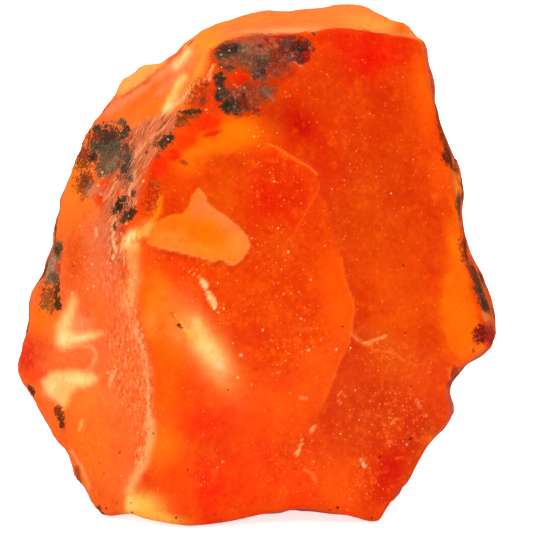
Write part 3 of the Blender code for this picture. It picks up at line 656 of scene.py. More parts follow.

# Single pale sparks, which are painted glints of light, and dark dots: x, y, radius.
# One that is out of reach counts as FAR_DOT radii away.

FAR_DOT = 9.0
PAINTED_GLINTS = {
    "crown": [
        (220.8, 54.5, 1.7), (229.3, 50.6, 1.4), (219.5, 88.5, 1.5), (229.4, 89.2, 1.2),
        (230.3, 101.6, 1.3), (238.0, 112.8, 1.2), (244.5, 87.7, 1.7), (221.2, 67.3, 1.4),
        (292.3, 56.2, 1.2), (236.0, 103.0, 1.0), (275.8, 59.3, 1.1), (223.6, 104.0, 1.0),
    ],
    "below crown": [
        (280.4, 91.0, 1.3), (284.7, 92.0, 1.2), (286.6, 97.0, 1.5), (327.0, 74.8, 1.5),
    ],
    "left face": [
        (113.0, 258.5, 1.8), (94.1, 286.2, 1.7), (87.8, 289.0, 1.4), (92.4, 264.4, 1.5),
        (77.5, 289.7, 1.3), (72.9, 293.0, 1.8), (85.0, 257.0, 1.3), (87.2, 269.0, 1.2),
        (132.6, 285.0, 1.5), (80.6, 226.0, 1.2), (110.8, 263.3, 1.3), (114.8, 244.0, 1.2),
        (122.0, 475.5, 1.5), (72.3, 276.0, 1.2), (95.8, 301.0, 1.1),
    ],
    "bulb": [
        (254.0, 136.7, 1.5), (257.6, 136.4, 1.4), (263.3, 131.8, 1.1), (254.8, 167.6, 1.4),
        (274.2, 181.5, 1.7), (288.2, 251.8, 2.1), (244.0, 217.3, 1.3), (251.8, 238.5, 1.4),
        (227.6, 177.3, 1.1), (232.4, 176.7, 1.1), (206.4, 160.3, 1.0), (303.3, 224.5, 1.1),
        (277.9, 228.2, 1.3), (305.0, 214.0, 1.4), (325.0, 246.0, 1.2), (276.0, 262.7, 1.3),
        (281.4, 269.5, 1.2), (316.0, 140.8, 1.2),
    ],
    "centre": [
        (272.9, 335.3, 1.3), (301.0, 318.7, 1.8), (310.5, 279.8, 1.8), (283.7, 293.8, 1.5),
        (276.2, 296.4, 1.2), (301.0, 293.8, 1.2), (241.0, 355.0, 2.3), (237.8, 377.3, 1.9),
        (251.8, 384.4, 1.7), (262.7, 330.0, 1.8), (278.0, 372.8, 1.8), (282.6, 373.2, 1.3),
        (272.7, 373.5, 1.5), (269.7, 365.9, 1.1), (285.6, 360.8, 1.4), (308.6, 350.0, 1.8),
        (312.4, 346.7, 1.3), (320.7, 340.4, 1.3), (323.9, 337.0, 1.4), (310.5, 341.6, 1.3),
        (294.6, 344.0, 1.3), (336.0, 349.3, 2.1), (350.7, 348.0, 1.6), (232.7, 343.0, 1.3),
    ],
    "comma": [
        (217.6, 283.2, 1.5), (218.2, 312.4, 1.9), (223.8, 309.0, 2.0), (219.5, 286.0, 1.0),
        (193.0, 301.0, 1.2), (186.6, 294.0, 1.1),
    ],
    "right panel": [
        (390.7, 193.3, 1.6), (331.8, 189.0, 1.2), (340.2, 190.5, 1.3), (371.0, 136.5, 1.3),
        (345.0, 236.8, 1.2),
    ],
    "lower right": [
        (355.2, 390.3, 1.4), (363.8, 390.3, 1.2), (369.6, 400.0, 1.3), (359.2, 420.1, 1.3),
        (363.8, 420.8, 1.2), (340.3, 433.4, 1.5), (389.6, 417.3, 1.4), (424.0, 409.2, 1.4),
        (426.4, 415.6, 1.5), (394.8, 393.8, 1.6), (401.7, 395.0, 1.2), (370.4, 447.0, 1.4),
        (313.9, 462.0, 1.6), (416.0, 433.3, 1.3), (407.2, 444.5, 1.8), (368.4, 467.8, 1.3),
        (405.9, 335.6, 1.2), (415.4, 357.0, 1.4), (428.6, 371.6, 1.2), (371.0, 491.5, 1.4),
        (346.6, 509.5, 1.4),
    ],
    "foot": [
        (209.2, 432.6, 1.3), (215.1, 428.3, 1.3), (203.1, 434.8, 1.1), (203.1, 477.0, 1.5),
        (213.5, 477.0, 1.4), (201.0, 484.7, 1.4), (222.7, 461.5, 1.9), (217.3, 467.3, 1.2),
        (264.6, 410.5, 1.3),
    ],
    "beside the skin": [
        (206.4, 109.6, 1.9), (167.5, 139.0, 1.6), (163.5, 147.0, 1.1), (143.5, 181.0, 1.8),
        (126.3, 223.4, 1.8), (127.8, 215.8, 1.2), (102.5, 172.5, 1.7), (98.5, 185.4, 1.7),
    ],
}
DARK_DOTS = {
    "foot": [
        (176.0, 517.6, 1.8), (190.2, 515.6, 1.3), (180.4, 521.0, 1.2), (117.0, 503.6, 1.4),
        (106.6, 508.2, 1.4), (131.6, 502.6, 1.3), (132.7, 511.8, 1.3),
    ],
    "left face": [
        (120.2, 452.7, 1.4), (100.2, 463.0, 1.3),
    ],
    "lower right": [
        (379.9, 457.2, 2.0), (410.3, 438.6, 2.3), (361.6, 467.3, 1.8), (330.0, 509.7, 1.6),
        (337.4, 507.4, 2.0), (371.8, 517.6, 1.4),
    ],
    "holes": [
        (179.0, 325.0, 2.7), (181.5, 327.8, 1.8), (212.9, 302.2, 1.0),
    ],
    "single": [
        (109.0, 385.3, 1.1), (227.6, 390.0, 1.6), (405.9, 332.8, 1.5),
    ],
}

# Where pale specks lie thickest: x, y, half width, half height, turn, how many

SPECK_FIELDS = {
    "left of comma": (190, 292, 18, 20, 0, 0.75),
    "under comma": (240, 316, 22, 12, 10, 0.9),
    "centre": (300, 345, 40, 18, -20, 1.0),
    "centre high": (280, 300, 40, 30, 0, 0.55),
    "bulb": (265, 175, 44, 40, 0, 0.45),
    "below flake": (195, 262, 34, 7, 12, 0.85),
    "right of flake": (270, 245, 40, 26, 0, 0.5),
    "panel": (360, 180, 44, 50, 0, 0.30),
    "panel low": (398, 362, 30, 18, 15, 1.0),
    "lower right": (395, 420, 44, 34, 20, 0.95),
    "lower right foot": (366, 478, 24, 26, -20, 0.95),
    "foot": (300, 460, 34, 34, 0, 0.6),
    "foot west": (212, 470, 24, 30, 0, 0.45),
    "left face": (92, 262, 20, 34, 0, 0.7),
    "frost": (126, 370, 20, 50, -4, 0.7),
    "left face low": (95, 440, 34, 34, 0, 0.35),
}


# Areas of the front, and where the crown's skin has worn through

CROWN = [
    (213, 50), (217, 46), (225, 41), (237, 38), (255, 35), (285, 34), (300, 36), (312, 42), (314, 49),
    (310, 55), (304, 65), (298, 66), (296, 73), (285, 80), (279, 86), (273, 99), (262, 108), (250, 116),
    (237, 118), (225, 112), (216, 102), (212, 90), (214, 80), (219, 73), (218, 66), (216, 58),
]
CROWN_BARE = (239, 77, 9, 6, 0)
FIBRES = [
    (131, 128), (149, 119), (165, 113), (180, 114), (176, 129), (160, 146), (150, 160), (142, 181),
    (137, 204), (124, 214), (118, 230), (122, 262), (112, 262), (106, 232), (104, 205), (112, 178),
    (124, 150),
]
FROST = [
    (104, 330), (118, 312), (128, 304), (144, 346), (148, 380), (150, 434), (136, 436), (118, 400),
    (108, 372),
]
FROST_HIGH = [(104, 232), (120, 232), (130, 300), (112, 318), (98, 280)]
# The flake scar: its own colour, with a painted sheen on its paler parts
FLAKE_TONE_AND_SHEEN = {
    "tip": (203, 204, 10, 16, 20, (250, 122, 60), 0.9),
    "right edge": (226, 222, 8, 20, -48, (255, 128, 64), 0.9),
    "lobe": (236, 244, 14, 13, 0, (255, 140, 56), 0.9),
    "inside": (208, 232, 20, 12, 20, (255, 116, 1), 0.9),
    "low edge": (200, 248, 34, 6, 16, (255, 134, 34), 0.8),
    "west": (168, 238, 18, 8, 10, (255, 132, 40), 0.9),
    "west speckle": (172, 224, 10, 6, 0, (246, 104, 20), 0.6),
}

# Chips: dots that run into each other, x, y and radius; their colour; and their depth in millimetres

CHIPS = {
    "vein": (
        [(184, 269, 1), (189, 271, 1), (194, 274, 1.3), (198, 276, 1.3), (201, 279, 1.6)],
        (255, 160, 84), 0.06),
    "vein head": ([(203, 282, 2.6), (205, 285, 3), (205.5, 288, 2)], (255, 226, 158), 0.12),
    "vein body": (
        [(208, 293, 2.6), (210, 297, 3.6), (212, 300, 3.8), (214, 304, 3.4)], (255, 196, 118), 0.14),
    "vein foot": ([(209, 298, 1.8), (214.5, 308, 2)], (255, 224, 160), 0.08),
    "left crescent": ([(113, 372, 1.8), (112, 376, 2.6), (111, 380, 2.3), (109.5, 385, 1.8), (108, 373, 1.5)],
                      (255, 172, 112), 0.16),
    "low left crescent": ([(81.5, 421, 1.8), (80.5, 425, 2.3), (79, 429, 1.8)], (255, 174, 88), 0.14),
    "c mark": (
        [(345.3, 395.2, 1.0), (343, 393.2, 1.0), (341, 392.8, 1.0), (339, 394.5, 1.0), (338.2, 397.5, 1.0),
                (338.7, 400.4, 1.0), (340.3, 402.8, 1.0)], (255, 134, 72), 0.07),
    "low line": (
        [(301.8, 440, 1.4), (301, 444, 1.5), (299.5, 448, 1.7), (298, 451.5, 2.2), (297, 453.5, 2.2)],
                 (255, 184, 106), 0.12),
    "low dot": ([(314.2, 426.5, 1.8), (313, 429, 2.4), (311.8, 431.5, 1.8)], (255, 164, 94), 0.12),
    "low chip": ([(361, 460.5, 1.2), (363, 463.5, 1.9), (364.3, 466.5, 1.8)], (255, 206, 144), 0.14),
    "left cream": ([(113, 243, 1.4), (114, 247, 1.3), (113, 257, 1.8)], (255, 196, 140), 0.05),
}
RIPPLE_CENTRE = (352.0, 150.0)

# Pale specks of three sizes: cell in millimetres, radius in cells, and strength
SPECK_SIZES = ((0.56, 0.20, 0.55), (0.34, 0.26, 0.45), (1.2, 0.10, 0.70))


def front_share(points, outward):
    """How surely a point is on the side that the picture shows."""
    facing = outward @ towards_eye() + 0.07 * grain(points, 1.8, 17.0)
    seen = ramp(facing, -0.34, -0.10) * ramp(-points[:, 1], -12.0, -8.0)
    sideways = ramp(np.abs(outward[:, 0]), 0.55, 0.85) * (1.0 - ramp(facing, 0.15, 0.35))
    return seen * (1.0 - sideways * ramp(points[:, 1] + 1.5 * grain(points, 2.2, 19.0), -5.5, -1.5))


# Fine surface


def fine_copy(node):
    """An even fine mesh over a CAD node, twice as fine where the broad face is."""
    piece = bpy.data.objects.new("rough_carnelian_stone", node.data.copy())
    bpy.context.scene.collection.objects.link(piece)
    even = piece.modifiers.new("even surface", "REMESH")
    even.mode = "VOXEL"
    even.voxel_size = CELL * MM
    graph = bpy.context.evaluated_depsgraph_get()
    mesh = bpy.data.meshes.new_from_object(piece.evaluated_get(graph))
    piece.modifiers.clear()
    work = bmesh.new()
    work.from_mesh(mesh)
    work.normal_update()
    forward = Vector(towards_eye())
    near = [face for face in work.faces if face.normal.dot(forward) > FINE_FROM]
    edges = list({edge for face in near for edge in face.edges})
    bmesh.ops.subdivide_edges(work, edges=edges, cuts=1, use_grid_fill=True)
    work.to_mesh(mesh)
    work.free()
    mesh.materials.clear()
    piece.data = mesh
    return piece


def read_points(mesh):
    values = np.empty(len(mesh.vertices) * 3, np.float32)
    mesh.vertices.foreach_get("co", values)
    return values.reshape(-1, 3).astype(float) / MM


def write_points(mesh, points):
    mesh.vertices.foreach_set("co", (points * MM).astype(np.float32).ravel())
    mesh.update()


def read_normals(mesh):
    values = np.empty(len(mesh.vertices) * 3, np.float32)
    mesh.vertex_normals.foreach_get("vector", values)
    return values.reshape(-1, 3).astype(float)


def read_edges(mesh):
    values = np.empty(len(mesh.edges) * 2, np.int32)
    mesh.edges.foreach_get("vertices", values)
    return values.reshape(-1, 2)


def neighbour_mean(values, edges, counts):
    """Each vertex's mean over the vertices that it shares an edge with."""
    total = np.empty_like(values)
    for column in range(values.shape[1]):
        total[:, column] = np.bincount(edges[:, 0], values[edges[:, 1], column], len(values))
        total[:, column] += np.bincount(edges[:, 1], values[edges[:, 0], column], len(values))
    return total / counts[:, None]


def relax(points, edges):
    """Smooths the flat facets away and keeps the ridges between the broken faces."""
    counts = np.bincount(edges.ravel(), minlength=len(points)).astype(float)
    for turn in range(RELAX_ROUNDS):
        shift = neighbour_mean(points, edges, counts) - points
        size = np.linalg.norm(shift, axis=1)
        step = -0.46 if turn % 2 else 0.5
        points = points + shift * (step / (1.0 + (size / RELAX_KEEP) ** 2))[:, None]
    return points


def worn_edges(points, outward, edges):
    """How strongly the surface bends outward at each vertex, spread over its neighbours."""
    counts = np.bincount(edges.ravel(), minlength=len(points)).astype(float)
    shift = points - neighbour_mean(points, edges, counts)
    bend = np.sum(shift * outward, axis=1)[:, None]
    for _ in range(3):
        bend = 0.5 * bend + 0.5 * neighbour_mean(bend, edges, counts)
    return bend[:, 0]


# What each point of the surface is made of


def lay_clear_stone(points, grains, front, seen, edgy):
    """The colour of the clear stone at every point, with the glows, sheen, highlights and shade painted into
    it.
    """
    broad, middle, small = grains
    tone = np.tile(linear(RED_ORANGE), (len(points), 1))
    paint(tone, ramp(broad + 0.5 * middle, -0.4, 0.5), (250, 86, 2))
    paint(tone, 0.9 * ramp(middle + 0.8 * broad, 0.10, 0.6), (255, 112, 6))
    paint(tone, 0.8 * ramp(grain(points, 5.0, 14.0) + 0.4 * small, 0.15, 0.6), (255, 128, 50))
    paint(tone, 0.7 * ramp(grain(points, 4.0, 15.0), 0.25, 0.6), BLOOD)
    paint(tone, front, RED_ORANGE)
    # Clouds of the front, among them painted shade under the top edge and a painted glow of light in the foot
    paint_marks(tone, FRONT_CLOUDS, cloud, seen, front)

    left = area(seen, LEFT_FACE, 4.0) * front
    paint(tone, left, (242, 100, 36))
    paint_marks(tone, LEFT_CLOUDS, cloud, seen, left)
    # Painted highlights: the pale pools of reflected light on the left face
    paint_marks(tone, CREAM_HIGHLIGHT_SHAPES, patch, edgy, left)
    paint_marks(tone, CREAM_HIGHLIGHT_POOLS, haze, edgy, left)

    # The upper slope, its pale salmon and cream partly a painted sheen
    slope = area(seen, UPPER_SLOPE, 3.0) * front
    paint(tone, slope, (248, 112, 44))
    paint_marks(tone, SLOPE_CLOUDS, cloud, seen, slope)
    paint_marks(tone, SLOPE_STREAKS, streak, edgy, slope)
    paint(tone, 0.95 * area(edgy, LUMP, 2.5) * slope, (255, 166, 80))

    # The top band, its paler colour partly a painted sheen
    top = area(edgy, TOP_BAND, 1.6) * front
    paint(tone, top, (255, 138, 70))
    paint_marks(tone, TOP_TONE_AND_SHEEN, cloud, seen, top)
    paint(tone, area(seen, FIBRES, 4.0) * front, (216, 102, 58))
    # Painted light: the pale glows of light in the stone
    paint_marks(tone, PAINTED_GLOWS, haze, seen, front)
    paint(tone, 0.85 * area(edgy, RIGHT_STRIP, 2.5) * front, (255, 106, 1))

    gap, side = gap_to_line(edgy, LEDGE)
    clearer = 0.35 + 0.65 * ramp(edgy[:, 1], LEDGE_SOFT_UNTIL, LEDGE_CLEAR_FROM)
    clearer *= (1.0 - ramp(edgy[:, 1], LEDGE_FADES_FROM, LEDGE_GONE_BY)) * front
    paint(tone, 0.85 * clearer * ramp(side * gap, 0.0, 1.6) * (1.0 - ramp(gap, 4.0, 34.0)), (210, 52, 1))
    paint(tone, 0.45 * clearer * ramp(-side * gap, -0.6, 1.0) * (1.0 - ramp(gap, 1.0, 18.0)), (252, 84, 2))
    paint_marks(tone, RIDGE_STAINS, stain, edgy, front)
    paint_marks(tone, RIDGE_STREAKS, streak, edgy, front)
    return tone


def lay_flake(tone, front, seen, edgy):
    """Paints the flake scar with a painted sheen and rim highlight, and returns how surely each point is on
    it.
    """
    across = edgy[:, 0] + FLAKE_MERGE_SLANT * edgy[:, 1]
    merged = area(edgy, FLAKE, 0.7) * front * ramp(across, FLAKE_MERGED_AT, FLAKE_CLEAR_AT)
    paint(tone, 0.95 * merged, (255, 122, 10))
    paint_marks(tone, FLAKE_TONE_AND_SHEEN, cloud, seen, merged)
    # Painted highlight along the flake's rim
    paint(tone, 0.85 * merged * thread(seen, (FLAKE_RIM, 2.2)), (255, 140, 66))
    return merged


def lay_skin(points, grains, front, edgy):
    """How much weathered skin hides the stone at every point, and the skin's own colour."""
    broad, middle, small = grains
    skin = np.zeros(len(points))
    crust = np.tile(linear(UMBER), (len(points), 1))
    for marks in (CROWN_SKIN, SHOULDER_SKIN, EDGE_SKIN):
        for mark in marks.values():
            share = smear(edgy, mark) * front
            paint(crust, ramp(share, 0.0, 0.6), mark[-2])
            skin = np.maximum(skin, share * mark[-1])
    skin *= 1.0 - 0.95 * stain(edgy, CROWN_BARE) * front

    behind = 1.0 - front
    cover = ramp(0.9 * broad + 0.7 * middle + 0.45 * small, -0.55, 0.65)
    skin = np.maximum(skin, behind * (0.12 + 0.80 * cover))
    far_crust = np.tile(linear(RUST), (len(points), 1))
    paint(far_crust, ramp(middle + 0.5 * small, -0.6, 0.6), UMBER)
    paint(far_crust, ramp(broad - 0.4 * middle, 0.1, 0.7), OLIVE)
    paint(far_crust, 0.7 * ramp(grain(points, 2.0, 29.0), 0.0, 0.5), MAUVE)
    crust += (far_crust - crust) * behind[:, None]
    return skin, crust


def drift(points, size, across, down):
    """Smooth noise along both ways of the picture."""
    return np.stack([grain(points, size, across), grain(points, size, down)], axis=1)


def lay_marks(points, outward):
    """All that the material reads at each point, and what the relief is raised by."""
    front = front_share(points, outward)
    straight = seen_pixels(points)
    wide_drift = 3.0 * drift(points, 2.6, 3.1, 9.7)
    fine_drift = 1.8 * drift(points, 0.8, 5.3, 1.9)
    ragged = 2.0 * drift(points, 0.38, 6.7, 8.2)
    seen = straight + wide_drift + fine_drift
    edgy = straight + 0.15 * wide_drift + 0.7 * fine_drift
    turned_away = 1.0 - ramp(outward @ towards_eye(), 0.02, 0.30)
    edgy += 6.6 * turned_away[:, None] * drift(points, 1.4, 25.0, 27.0)

    grains = (grain(points, 9.0, 2.0), grain(points, 3.2, 7.0), grain(points, 1.1, 4.0))
    tone = lay_clear_stone(points, grains, front, seen, edgy)
    flake = lay_flake(tone, front, seen, straight + 0.4 * fine_drift)
    paint(tone, 0.85 * area(edgy, CROWN, 3.0) * front, (186, 44, 6))
    paint(tone, 0.95 * stain(edgy, CROWN_BARE) * front, (222, 18, 1))
    # Fine and dark lines, among them painted highlights along the arc and ledge steps and painted shade under
    # the ear and the flake
    for lines in (FINE_LINES, DARK_LINES):
        paint_marks(tone, lines, thread, straight + 0.45 * fine_drift, front)
    skin, crust = lay_skin(points, grains, front, edgy + ragged)

    ridge_gap, _ = gap_to_line(edgy, RIDGE_GRAIN)
    frost = np.maximum.reduce([
        area(seen, FROST, 8.0),
        0.75 * area(seen, FROST_HIGH, 8.0),
        1.1 * streak(edgy, RIDGE_STREAKS["yolk"]),
        1.3 * (1.0 - ramp(ridge_gap, 2.0, 9.0)),
        0.16 * area(seen, LEFT_FACE, 4.0),
    ]) * front
    frost = np.maximum(frost, (1.0 - front) * 0.8 * ramp(grain(points, 4.4, 33.0), -0.1, 0.5))
    grit = np.full(len(points), 0.18)
    for field in SPECK_FIELDS.values():
        grit = np.maximum(grit, cloud(seen, field) * field[-1])
    distance, side = gap_to_line(straight, LEDGE)
    return {
        "tone": np.clip(tone, 0.0, 1.0),
        "crust": crust,
        "skin": skin,
        "frost": frost,
        "fibre": area(edgy, FIBRES, 5.0) * front,
        "grit": grit * (0.3 + 0.7 * front),
        "spark": nearest_dot(straight, PAINTED_GLINTS) + FAR_DOT * (1.0 - front),
        "dot": nearest_dot(straight, DARK_DOTS) + FAR_DOT * (1.0 - front),
        "front": front,
        "straight": straight,
        "flake": flake,
        "ledge": (1.0 - ramp(distance, 1.0, 14.0)) * (side > 0) * front,
    }


def chip_share(places, chip):
    """How surely each place lies in a chip, which is drawn as a line that swells along its way."""
    share = np.zeros(len(places))
    for x, y, radius in chip[0]:
        reach = np.hypot(places[:, 0] - x, places[:, 1] - y)
        share = np.maximum(share, 1.0 - ramp(reach, radius * 0.7, radius * 1.25))
    return share


def raise_relief(points, marks):
    """Heights in millimetres that the fine surface stands out from the smooth one."""
    front, skin, frost, straight = marks["front"], marks["skin"], marks["frost"], marks["straight"]
    height = np.full(len(points), PROUD)
    height += 0.045 * grain(points, 2.4, 11.0) + 0.02 * grain(points, 0.9, 13.0)
    coarse = grain(points, 0.8, 21.0) + 0.6 * grain(points, 0.42, 23.0)
    height += 0.05 * frost * coarse
    pits = np.abs(grain(points, 1.5, 31.0)) + 0.6 * np.abs(grain(points, 0.7, 33.0))
    height += skin * (0.16 * pits - 0.12 + 0.05 * coarse)
    radius = np.linalg.norm(straight - np.array(RIPPLE_CENTRE), axis=1) / PIXELS_PER_MM
    waves = np.sin(radius * 2.6 + 1.2 * grain(points, 6.0, 41.0))
    height += 0.014 * waves * front * ramp(radius, 3.0, 8.0)
    height += 0.10 * marks["flake"]
    height -= 0.06 * marks["ledge"]
    for chip in CHIPS.values():
        height -= chip[2] * chip_share(straight, chip) * front
    return height


def set_attribute(mesh, name, values):
    if values.ndim == 1:
        layer = mesh.attributes.new(name, "FLOAT", "POINT")
        layer.data.foreach_set("value", values.astype(np.float32))
        return
    layer = mesh.attributes.new(name, "FLOAT_COLOR", "POINT")
    padded = np.ones((len(values), 4), np.float32)
    padded[:, :3] = values
    layer.data.foreach_set("color", padded.ravel())


def dress_stone(node):
    piece = fine_copy(node)
    mesh = piece.data
    edges = read_edges(mesh)
    points = relax(read_points(mesh), edges)
    write_points(mesh, points)
    outward = read_normals(mesh)
    marks = lay_marks(points, outward)
    for chip in CHIPS.values():
        paint(marks["tone"], 0.9 * chip_share(marks["straight"], chip) * marks["front"], chip[1])
    edge_wear = worn_edges(points, outward, edges)
    wear = ramp(edge_wear, 0.012, 0.05) * (0.4 + 0.6 * ramp(grain(points, 1.3, 51.0), -0.4, 0.4))
    wear *= 1.0 - 0.9 * marks["front"]
    height = raise_relief(points, marks)
    above_base = ramp(points[:, 2], 0.10, 0.45)
    points = points + outward * (height * above_base)[:, None]
    points = np.clip(points, np.array(cad_low) / MM, np.array(cad_high) / MM)
    write_points(mesh, points)
    marks["wear"] = wear
    for name in ("tone", "crust", "skin", "frost", "fibre", "grit", "spark", "dot", "wear"):
        set_attribute(mesh, name, marks[name])
    for polygon in mesh.polygons:
        polygon.use_smooth = True
    mesh.materials.append(stone_material())
    return piece


# Material


class Nodes:
    """Short calls for building a node tree."""

    def __init__(self, tree):
        self.tree = tree

    def add(self, kind, **settings):
        made = self.tree.nodes.new(kind)
        for name, value in settings.items():
            setattr(made, name, value)
        return made

    def join(self, source, target):
        self.tree.links.new(source, target)

    def feed(self, target, value):
        if hasattr(value, "is_output"):
            self.join(value, target)
        else:
            target.default_value = value

    def attribute(self, name, output="Fac"):
        return self.add("ShaderNodeAttribute", attribute_name=name).outputs[output]

    def maths(self, operation, first, second=0.0, clamp=False):
        made = self.add("ShaderNodeMath", operation=operation, use_clamp=clamp)
        self.feed(made.inputs[0], first)
        self.feed(made.inputs[1], second)
        return made.outputs[0]

    def times(self, first, second):
        return self.maths("MULTIPLY", first, second)

    def plus(self, first, second, clamp=False):
        return self.maths("ADD", first, second, clamp)

    def minus(self, first, second, clamp=False):
        return self.maths("SUBTRACT", first, second, clamp)

    def between(self, value, low, high, out_low=0.0, out_high=1.0):
        made = self.add("ShaderNodeMapRange", interpolation_type="SMOOTHSTEP")
        self.feed(made.inputs["Value"], value)
        self.feed(made.inputs["From Min"], low)
        self.feed(made.inputs["From Max"], high)
        self.feed(made.inputs["To Min"], out_low)
        self.feed(made.inputs["To Max"], out_high)
        return made.outputs["Result"]

    def mix(self, share, first, second, blend="MIX"):
        made = self.add("ShaderNodeMix", data_type="RGBA", blend_type=blend)
        self.feed(made.inputs["Factor"], share)
        self.feed(made.inputs["A"], first)
        self.feed(made.inputs["B"], second)
        return made.outputs["Result"]

    def tinted(self, body, value, low, high, most, shade, within=1.0):
        """The body with a colour over it, which comes in as the value goes from low to high."""
        share = self.times(self.between(value, low, high, 0.0, most), within)
        return self.mix(share, body, colour(shade))

    def swing(self, value, within, strength):
        """Noise about nought, as high as its field and its strength make it."""
        return self.times(self.minus(value, 0.5), self.times(within, strength))

    def stretched(self, place, ways):
        made = self.add("ShaderNodeVectorMath", operation="MULTIPLY")
        self.join(place, made.inputs[0])
        made.inputs[1].default_value = ways
        return made.outputs[0]

    def scaled(self, tint, factor):
        made = self.add("ShaderNodeVectorMath", operation="SCALE")
        self.join(tint, made.inputs[0])
        self.join(factor, made.inputs["Scale"])
        return made.outputs[0]

    def noise(self, place, size, detail=3.0, rough=0.55):
        """Noise about 0.5 with features of that size in millimetres."""
        made = self.add("ShaderNodeTexNoise")
        self.join(place, made.inputs["Vector"])
        made.inputs["Scale"].default_value = 1.0 / (size * MM)
        made.inputs["Detail"].default_value = detail
        made.inputs["Roughness"].default_value = rough
        return made.outputs["Fac"]

    def cells(self, place, size):
        """Distance to the nearest of scattered points, in cell widths, and each cell's own number."""
        made = self.add("ShaderNodeTexVoronoi")
        self.join(place, made.inputs["Vector"])
        made.inputs["Scale"].default_value = 1.0 / (size * MM)
        split = self.add("ShaderNodeSeparateColor")
        self.join(made.outputs["Color"], split.inputs[0])
        return made.outputs["Distance"], split.outputs[0]


def colour(seen, alpha=1.0):
    return (*(float(part) for part in linear(seen)), alpha)


def paint_specks(build, place, body, grit):
    """Scattered pale specks, thick where the grit is, and a few dark ones."""
    for size, radius, strength in SPECK_SIZES:
        distance, number = build.cells(place, size)
        speck = build.between(distance, radius, radius * 0.5)
        kept = build.between(build.minus(grit, number), 0.0, 0.06)
        body = build.mix(build.times(build.times(speck, kept), strength), body, colour((255, 146, 62)))
    distance, number = build.cells(place, 2.6)
    few = build.between(number, 0.60, 0.62, 0.0, 0.8)
    return build.tinted(body, distance, 0.05, 0.025, 1.0, MAROON, few)


